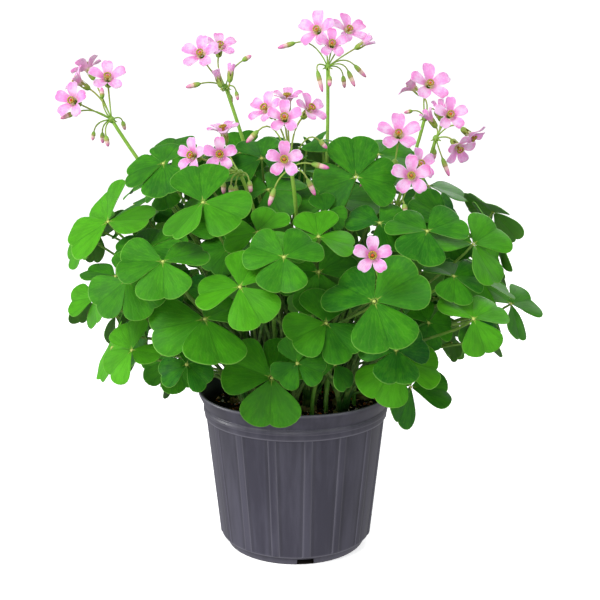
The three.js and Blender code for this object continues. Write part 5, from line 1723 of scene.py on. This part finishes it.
class CorollaMaker:
    """Builds the five petals and the middle of a flower."""

    SEED = 2203
    PETAL, ANTHER = 0, 1
    REACHES = (0.0, 0.14, 0.28, 0.4, 0.5, 0.62, 0.75, 0.86, 0.94, 1.0)
    WIDTHS = (37.0, 37.0, 36.4, 34.0, 31.5, 30.0, 27.5, 24.5, 21.5, 19.0)
    SIDES = (0.18, 0.38, 0.6, 0.8, 0.93, 1.0)
    THROAT = 2.7
    WIDE_OPEN = 0.6
    HALF_THICKNESS = 0.11

    def __init__(self) -> None:
        """Seeds the small differences between petals."""
        self.rng = np.random.default_rng(self.SEED)

    def petal(self, flower: Flower, turn: float) -> Shell:
        """One petal with its fifth of the tube, a closed thin shell.

        Its middle line is a cubic curve of radius and height from the tube's foot to the tip.
        At each share of that line the petal spans plus and minus a half angle, read from a list
        of half angles by radius. The tip is rounded and slightly notched by shortening the
        outer rows by w to the sixth and by a narrow bell at w = 0. Its sides turn up with w
        squared, and one edge lies higher than the other.
        """
        t = np.linspace(0, 1, 17) ** 0.9
        w = np.array([-side for side in self.SIDES[::-1]] + [0, *self.SIDES])
        opening = flower.open
        wide = opening > self.WIDE_OPEN
        throat = self.THROAT * lerp(0.55, 1, opening)
        spread = math.radians(lerp(14, 84, opening))
        outward = (flower.radius - self.THROAT) * np.array([math.sin(spread), math.cos(spread)])
        droop = self.rng.uniform(-0.9, 0.5) * opening
        line = bezier([np.array([1.2, -flower.tube + 0.2]), np.array([1.75, -3.6]),
                       [throat * 1.12, -1.05] + 0.16 * outward, [throat, -1.2 + droop] + outward], t)
        r_line, axial = line[:, :1], line[:, 1:]
        share = np.clip(r_line / flower.radius, 0, 1) if wide else t[:, None]
        half = np.radians(np.interp(share, self.REACHES, self.WIDTHS))
        if not wide:
            half = half * (1 + 0.1 * (1 - t[:, None]))
        end = smooth(0.55, 1.0, t)[:, None]
        lean = self.rng.uniform(-0.04, 0.04)
        short = 0.15 * w ** 4 + 0.04 * np.exp(-((w - lean * 3) / 0.2) ** 2) + lean * w
        r = r_line * (1 - end * short)
        cup = (0.05 * w ** 2 - 0.02) * r_line * self.rng.uniform(0.5, 1.6) + 0.22 * w * (1 - 0.5 * end)
        wave = 0.02 * r_line * end * np.sin(3.5 * w + self.rng.uniform(0, 6.28))
        points = flower.at(r, turn + half * w, axial + (cup + wave) * min(1, opening + 0.2))
        normal = unit(np.cross(np.gradient(points, axis=0), np.gradient(points, axis=1)))
        lift = normal * self.HALF_THICKNESS
        uv = np.stack(np.broadcast_arrays(np.clip(r_line / flower.radius, 0, 1) * 0.7 + 0.3 * t[:, None],
                                          (w[None] + 1) / 2), -1)
        paint = np.zeros((*points.shape[:2], 4))
        paint[..., 0] = self.rng.uniform(0, 1) ** 1.5
        paint[..., 2] = 0.85 * smooth(0.3, 0.14, share) if wide else 0.5 * smooth(0.35, 0.1, share)
        paint[..., 3] = 1
        under = paint.copy()
        under[..., 1] = 1
        return two_sided(points + lift, points - lift, uv, paint, under, self.PETAL)

    def heart(self, flower: Flower) -> list[Shell]:
        """The flower's middle: a ring of anthers round a small dome in the throat.

        The ring is a circle carried round the axis whose height rises and falls ten times.
        """
        sides, around = 40, 8
        big = circle(sides)[:, None]
        small = circle(around)[None]
        bead = 0.42 + 0.12 * np.cos(10 * big)
        r = 1.6 + bead * np.cos(small)
        points = flower.at(r, np.broadcast_to(big, r.shape), -0.85 + bead * np.sin(small) * 1.25)
        quads = grid_quads(sides + 1, around, wrap=True)[:, [0, 3, 2, 1]] % (sides * around)
        lit = smooth(0.2, 1, np.cos(small - 1.7) * np.cos(5 * big) ** 2)
        shades = tints("8c7614", "dcb62a", lit[..., None])
        ring = Shell(points.reshape(-1, 3), quads, paint=shades.reshape(-1, 4), finish=self.ANTHER)
        profile = np.array([(0, -4), (0.7, -3.6), (0.8, -1.6), (0.7, -0.95), (0.42, -0.65), (0, -0.55)])
        codes = ("8c8010", "8c8010", "c07c10", "dc6c18", "d8541a", "c8481c")
        paint = np.array([tint(code) for code in codes])
        return [ring, revolve(flower.centre, flower.face, profile, 12, paint, self.ANTHER)]

    def build(self, name: str, node: str, flower: Flower, palette: Palette) -> None:
        """Makes one flower's piece."""
        petals = [self.petal(flower, math.pi / 2 + 2 * math.pi * k / 5) for k in range(5)]
        heart = self.heart(flower) if flower.open > self.WIDE_OPEN else []
        piece = mesh_object(name, petals + heart, [palette.petal, palette.stalk])
        seat(piece, "petal", node)


@dataclass
class Umbel:
    """One flower stalk with its hub, flower stalks, green cups and buds."""

    name: str
    root: tuple
    hub: Array
    rise: Array
    flowers: list
    buds: list
    knob_offset: float = 0.8
    stalk_radius: float = 1.2
    thinning: float = 0.22
    foot_depths: tuple = (8, 3)

    SIDE: ClassVar[Array] = np.array([0.3, 0.2, 1.0])
    GREEN: ClassVar[str] = "7fae3c"
    BROWNISH: ClassVar[str] = "9a9e3f"
    BUD_COLOURS: ClassVar[tuple] = ("7fae3c",) * 3 + (
        "8cb244", "a8a85a", "b3935c", "efc6c4", "efc6c4", "f08cc6", "f08cc6", "cf3f9c", "cf3f9c")

    def scape(self) -> Shell:
        """The tall stalk: a tube on a cubic curve, with a straight foot in the soil."""
        foot = np.array([*self.root, SOIL_LEVEL])
        length = float(np.linalg.norm(self.hub - foot))
        corners = [foot, foot + UP * 0.36 * length, self.hub - unit(self.rise) * 0.34 * length, self.hub]
        t = np.linspace(0, 1, 30)
        path = np.concatenate([[foot - UP * depth for depth in self.foot_depths], bezier(corners, t)])
        share = np.concatenate([[0, 0], t])
        paint = tints("4f9226", "86b83a", share[:, None])
        return tube(path, self.stalk_radius - self.thinning * share, 10, np.array([0.1, 1.0, 0]), paint, 0)

    def knob(self) -> list[Shell]:
        """The hub: a small rounded swelling with narrow pointed bracts round it."""
        profile = np.array([(0, -2.1), (1.1, -1.7), (1.75, -0.7), (1.85, 0.2), (1.4, 1.2), (0.7, 1.75),
                            (0, 1.9)])
        spike = np.array([(0, 0), (0.5, 0.4), (0.42, 1.2), (0.2, 2.1), (0, 2.7)])
        shells = [revolve(self.hub, UP, profile, 10, tint("78a83a"), 0)]
        for k in range(6):
            out = polar(1, 60 * k + 15, -0.45)
            shells.append(revolve(self.hub + out, unit(out), spike, 6, tint("93b84e"), 0))
        return shells

    def pedicel(self, flower: Flower) -> Shell:
        """A flower's own thin stalk, on a quadratic curve that comes to its cup from behind."""
        end = flower.cup_base()
        bend = end - flower.face * 0.42 * np.linalg.norm(end - self.hub)
        start = self.hub + unit(bend - self.hub) * self.knob_offset
        path = bezier([start, bend, end + flower.face * 0.3], np.linspace(0, 1, 10))
        paint = np.linspace(tint("86b83a"), tint("a8a858"), 10)
        return tube(path, np.linspace(0.44, 0.5, 10), 6, self.SIDE, paint, 0)

    def cup(self, flower: Flower) -> Shell:
        """The green cup and its five pointed sepals, a closed thin shell round the tube.

        Outside rows climb from the stalk to the sepals' tips and inside rows go back down. The
        height of a row is its share times a length that is longest on the middle of each sepal:
        2.7 plus 3.6 times (half of 1 + cos 5a) to the power 0.8.
        """
        sides = 30
        turn = circle(sides)
        peak = (0.5 + 0.5 * np.cos(5 * (turn - math.pi / 2))) ** 0.8
        length = 2.7 + 3.6 * peak
        out_share = np.array([0.0, 0.12, 0.3, 0.55, 0.8, 1.0])
        out_radius = np.array([0.5, 1.0, 1.5, 1.78, 1.86, 1.92])
        wide = lerp(0.85, 1.0, flower.open)
        share = np.concatenate([out_share, out_share[::-1][:-2]])
        radius = np.concatenate([out_radius, out_radius[::-1][:-2] - 0.16]) * wide
        sharp = 1 + 0.05 * share[:, None] * (peak - 0.5)
        rows = flower.at(radius[:, None] * sharp, np.broadcast_to(turn, (len(share), sides)),
                         -(flower.tube + flower.gap + flower.calyx) + share[:, None] * length)
        ends = np.array([flower.cup_base(), flower.cup_base() + flower.face * 0.8])
        paint = tints(self.GREEN, self.BROWNISH, share[:, None] * 0.9)
        return ringed(rows, ends, paint, np.array([tint(self.GREEN)] * 2), 0)

    def bud(self, row: tuple) -> list[Shell]:
        """A bud and its stalk: a spindle, green at its cup, pale in the middle, pink at its tip."""
        base, tip = self.hub + row[:3], self.hub + row[3:]
        aim = tip - base
        length = float(np.linalg.norm(aim))
        axis = aim / length
        bend = base - axis * 0.5 * np.linalg.norm(base - self.hub)
        start = self.hub + unit(bend - self.hub) * self.knob_offset
        path = bezier([start, bend, base + axis * 0.3], np.linspace(0, 1, 9))
        stem = tube(path, np.full(9, 0.42), 6, self.SIDE, np.linspace(tint("86b83a"), tint("9aa850"), 9), 0)
        girth = min(1.4, length * 0.22)
        share = np.array([0, 0.02, 0.12, 0.26, 0.4, 0.46, 0.5, 0.6, 0.74, 0.87, 0.96, 1.0])
        radius = girth * np.array([0, 0.42, 0.78, 0.98, 1.04, 1.0, 0.9, 0.92, 0.84, 0.62, 0.32, 0])
        paint = np.array([tint(code) for code in self.BUD_COLOURS])
        profile = np.stack([radius, share * length], 1)
        return [stem, revolve(base, axis, profile, 10, paint, 0)]

    def build(self, palette: Palette) -> None:
        """Makes the umbel's green piece."""
        shells = [self.scape(), *self.knob()]
        for flower in self.flowers:
            shells += [self.pedicel(flower), self.cup(flower)]
        for row in self.buds:
            shells += self.bud(row)
        piece = mesh_object(f"flower_stalk_{self.name}", shells, [palette.stalk])
        seat(piece, "stalk", f"umbel_{self.name}")


class Flowering:
    """All umbels and their flowers."""

    def __init__(self) -> None:
        """Reads the list of umbels."""
        self.umbels = []
        for name, (root, hub, rise, flowers, buds) in UMBELS.items():
            hub = np.array(hub, float)
            self.umbels.append(Umbel(name, root, hub, np.array(rise, float),
                                     [Flower.from_row(hub, row) for row in flowers], buds))

    def room(self) -> list[list[Shell]]:
        """Plain shells of every stalk and a disc for every flower, to keep leaves clear of."""
        shells = []
        for umbel in self.umbels:
            shells.append([umbel.scape()])
            for flower in umbel.flowers:
                r = flower.radius
                profile = np.array([(0, -7.0), (1.6, -6.5), (0.6 * r, -1.5), (r, -0.8), (r, 1.2), (0, 1.4)])
                disc = revolve(flower.centre, flower.face, profile, 12, np.zeros(4), 0)
                shells.append([umbel.pedicel(flower), disc])
            shells += [umbel.bud(row) for row in umbel.buds]
        return shells

    def build(self, palette: Palette) -> None:
        """Makes every umbel's piece and every flower's piece."""
        maker = CorollaMaker()
        for umbel in self.umbels:
            umbel.build(palette)
            for k, flower in enumerate(umbel.flowers):
                maker.build(f"flower_{umbel.name}{k + 1}", f"bloom_{umbel.name}{k + 1}", flower, palette)


# Camera, lights and floor


@dataclass
class Studio:
    """The camera at the photograph's angle, a white sweep and soft lights."""

    eye: tuple = (0.0025, -0.600, 0.270)
    look_down: float = 12
    lens: float = 64.86
    sensor: float = 36
    floor_radius: float = 1.4
    bend_radius: float = 0.9
    wall_top: float = 3.0
    under_foot: float = 0.0002
    shade_radius: float = 0.0400
    air: float = 0.45

    LIGHTS: ClassVar[tuple] = (
        ("key", (-0.7, -0.9, 1.1), (0, 0, 0.15), 0.7, 14.5),
        ("low_front", (-0.15, -1.1, 0.12), (0, 0, 0.12), 0.5, 2.2),
        ("fill", (0.9, -0.8, 0.5), (0, 0, 0.12), 0.8, 2.6),
        ("left_side", (-0.9, 0.0, 0.12), (0, 0, 0.06), 0.4, 3.2),
        ("back", (0.5, 0.9, 0.8), (0, 0, 0.2), 0.6, 6),
    )

    def camera(self) -> None:
        """The camera."""
        data = bpy.data.cameras.new("camera")
        data.lens = self.lens
        data.sensor_width = self.sensor
        made = bpy.data.objects.new("camera", data)
        made.location = self.eye
        made.rotation_euler = (math.radians(90 - self.look_down), 0, 0)
        bpy.context.scene.collection.objects.link(made)
        bpy.context.scene.camera = made

    @staticmethod
    def turned(name: str, line: Array, sides: int, settings: dict) -> bpy.types.Object:
        """A stage object from a profile of radius and height in metres, carried round the axis.

        Args:
            name: its name.
            line: rows of radius and height, from the middle outward.
            sides: points of a ring.
            settings: its shader's values by input name.

        Returns:
            The linked object.
        """
        turn = circle(sides)
        r, z = line[:, :1], line[:, 1:]
        points = np.stack(np.broadcast_arrays(r * np.cos(turn), r * np.sin(turn), z), -1).reshape(-1, 3)
        quads = grid_quads(len(line), sides, wrap=True)[:, ::-1]
        mesh = bpy.data.meshes.new(name)
        mesh.from_pydata(points.tolist(), [], quads.tolist())
        mesh.polygons.foreach_set("use_smooth", np.ones(len(quads), bool))
        made = bpy.data.objects.new(name, mesh)
        bpy.context.scene.collection.objects.link(made)
        material = bpy.data.materials.new(name)
        material.use_nodes = True
        shader = material.node_tree.nodes["Principled BSDF"]
        for key, value in settings.items():
            shader.inputs[key].default_value = value
        mesh.materials.append(material)
        return made

    def sweep(self) -> None:
        """The floor that curves up into a round wall, just under the pot's foot.

        It lights nothing and shades nothing, so the light comes from the lamps and the air alone.
        """
        bend = [(self.floor_radius + self.bend_radius * math.sin(a), self.bend_radius * (1 - math.cos(a)))
                for a in np.linspace(0, np.pi / 2, 13)]
        wall = self.floor_radius + self.bend_radius
        line = np.array([(0.001, 0.0), (0.4, 0.0), *bend, (wall, self.wall_top)]) - [0, self.under_foot]
        made = self.turned("sweep", line, 64, {
            "Base Color": (0.93, 0.93, 0.93, 1), "Roughness": 0.85, "Emission Color": (1, 1, 1, 1),
            "Emission Strength": 0.6})
        made.visible_diffuse = False
        made.visible_glossy = False
        made.visible_shadow = False

    def shade(self) -> None:
        """The dark under the pot: a flat ring of two circles on the floor, inside the foot."""
        line = np.array([(0.0001, 0), (self.shade_radius, 0)]) - [0, self.under_foot / 2]
        self.turned("shade", line, 48, {"Base Color": srgb("2a211c"), "Roughness": 0.9})

    def light(self, name: str, place: tuple, aim: tuple, size: float, power: float) -> None:
        """A square area light.

        Args:
            name: its name.
            place: where it is, in metres.
            aim: the point that it faces.
            size: side length in metres.
            power: watts.
        """
        data = bpy.data.lights.new(name, "AREA")
        data.size = size
        data.energy = power
        made = bpy.data.objects.new(name, data)
        made.location = place
        made.rotation_euler = (Vector(aim) - Vector(place)).to_track_quat("-Z", "Y").to_euler()
        bpy.context.scene.collection.objects.link(made)

    def build(self) -> None:
        """Camera, floor, lights and world."""
        self.camera()
        self.sweep()
        self.shade()
        for row in self.LIGHTS:
            self.light(*row)
        world = bpy.data.worlds.new("studio_air")
        world.use_nodes = True
        back = world.node_tree.nodes["Background"]
        back.inputs[0].default_value = (1, 1, 1, 1)
        back.inputs[1].default_value = self.air
        bpy.context.scene.world = world
        view = bpy.context.scene.view_settings
        view.view_transform = "Standard"
        view.look = "None"


def main() -> None:
    """Builds everything in order."""
    logging.basicConfig(level=logging.INFO, format="%(message)s")
    Studio().build()
    palette = Palette()
    Pot().build(palette)
    Soil().build(palette)
    flowering = Flowering()
    Foliage(flowering).build(palette)
    flowering.build(palette)


if __name__ == "__main__":
    main()
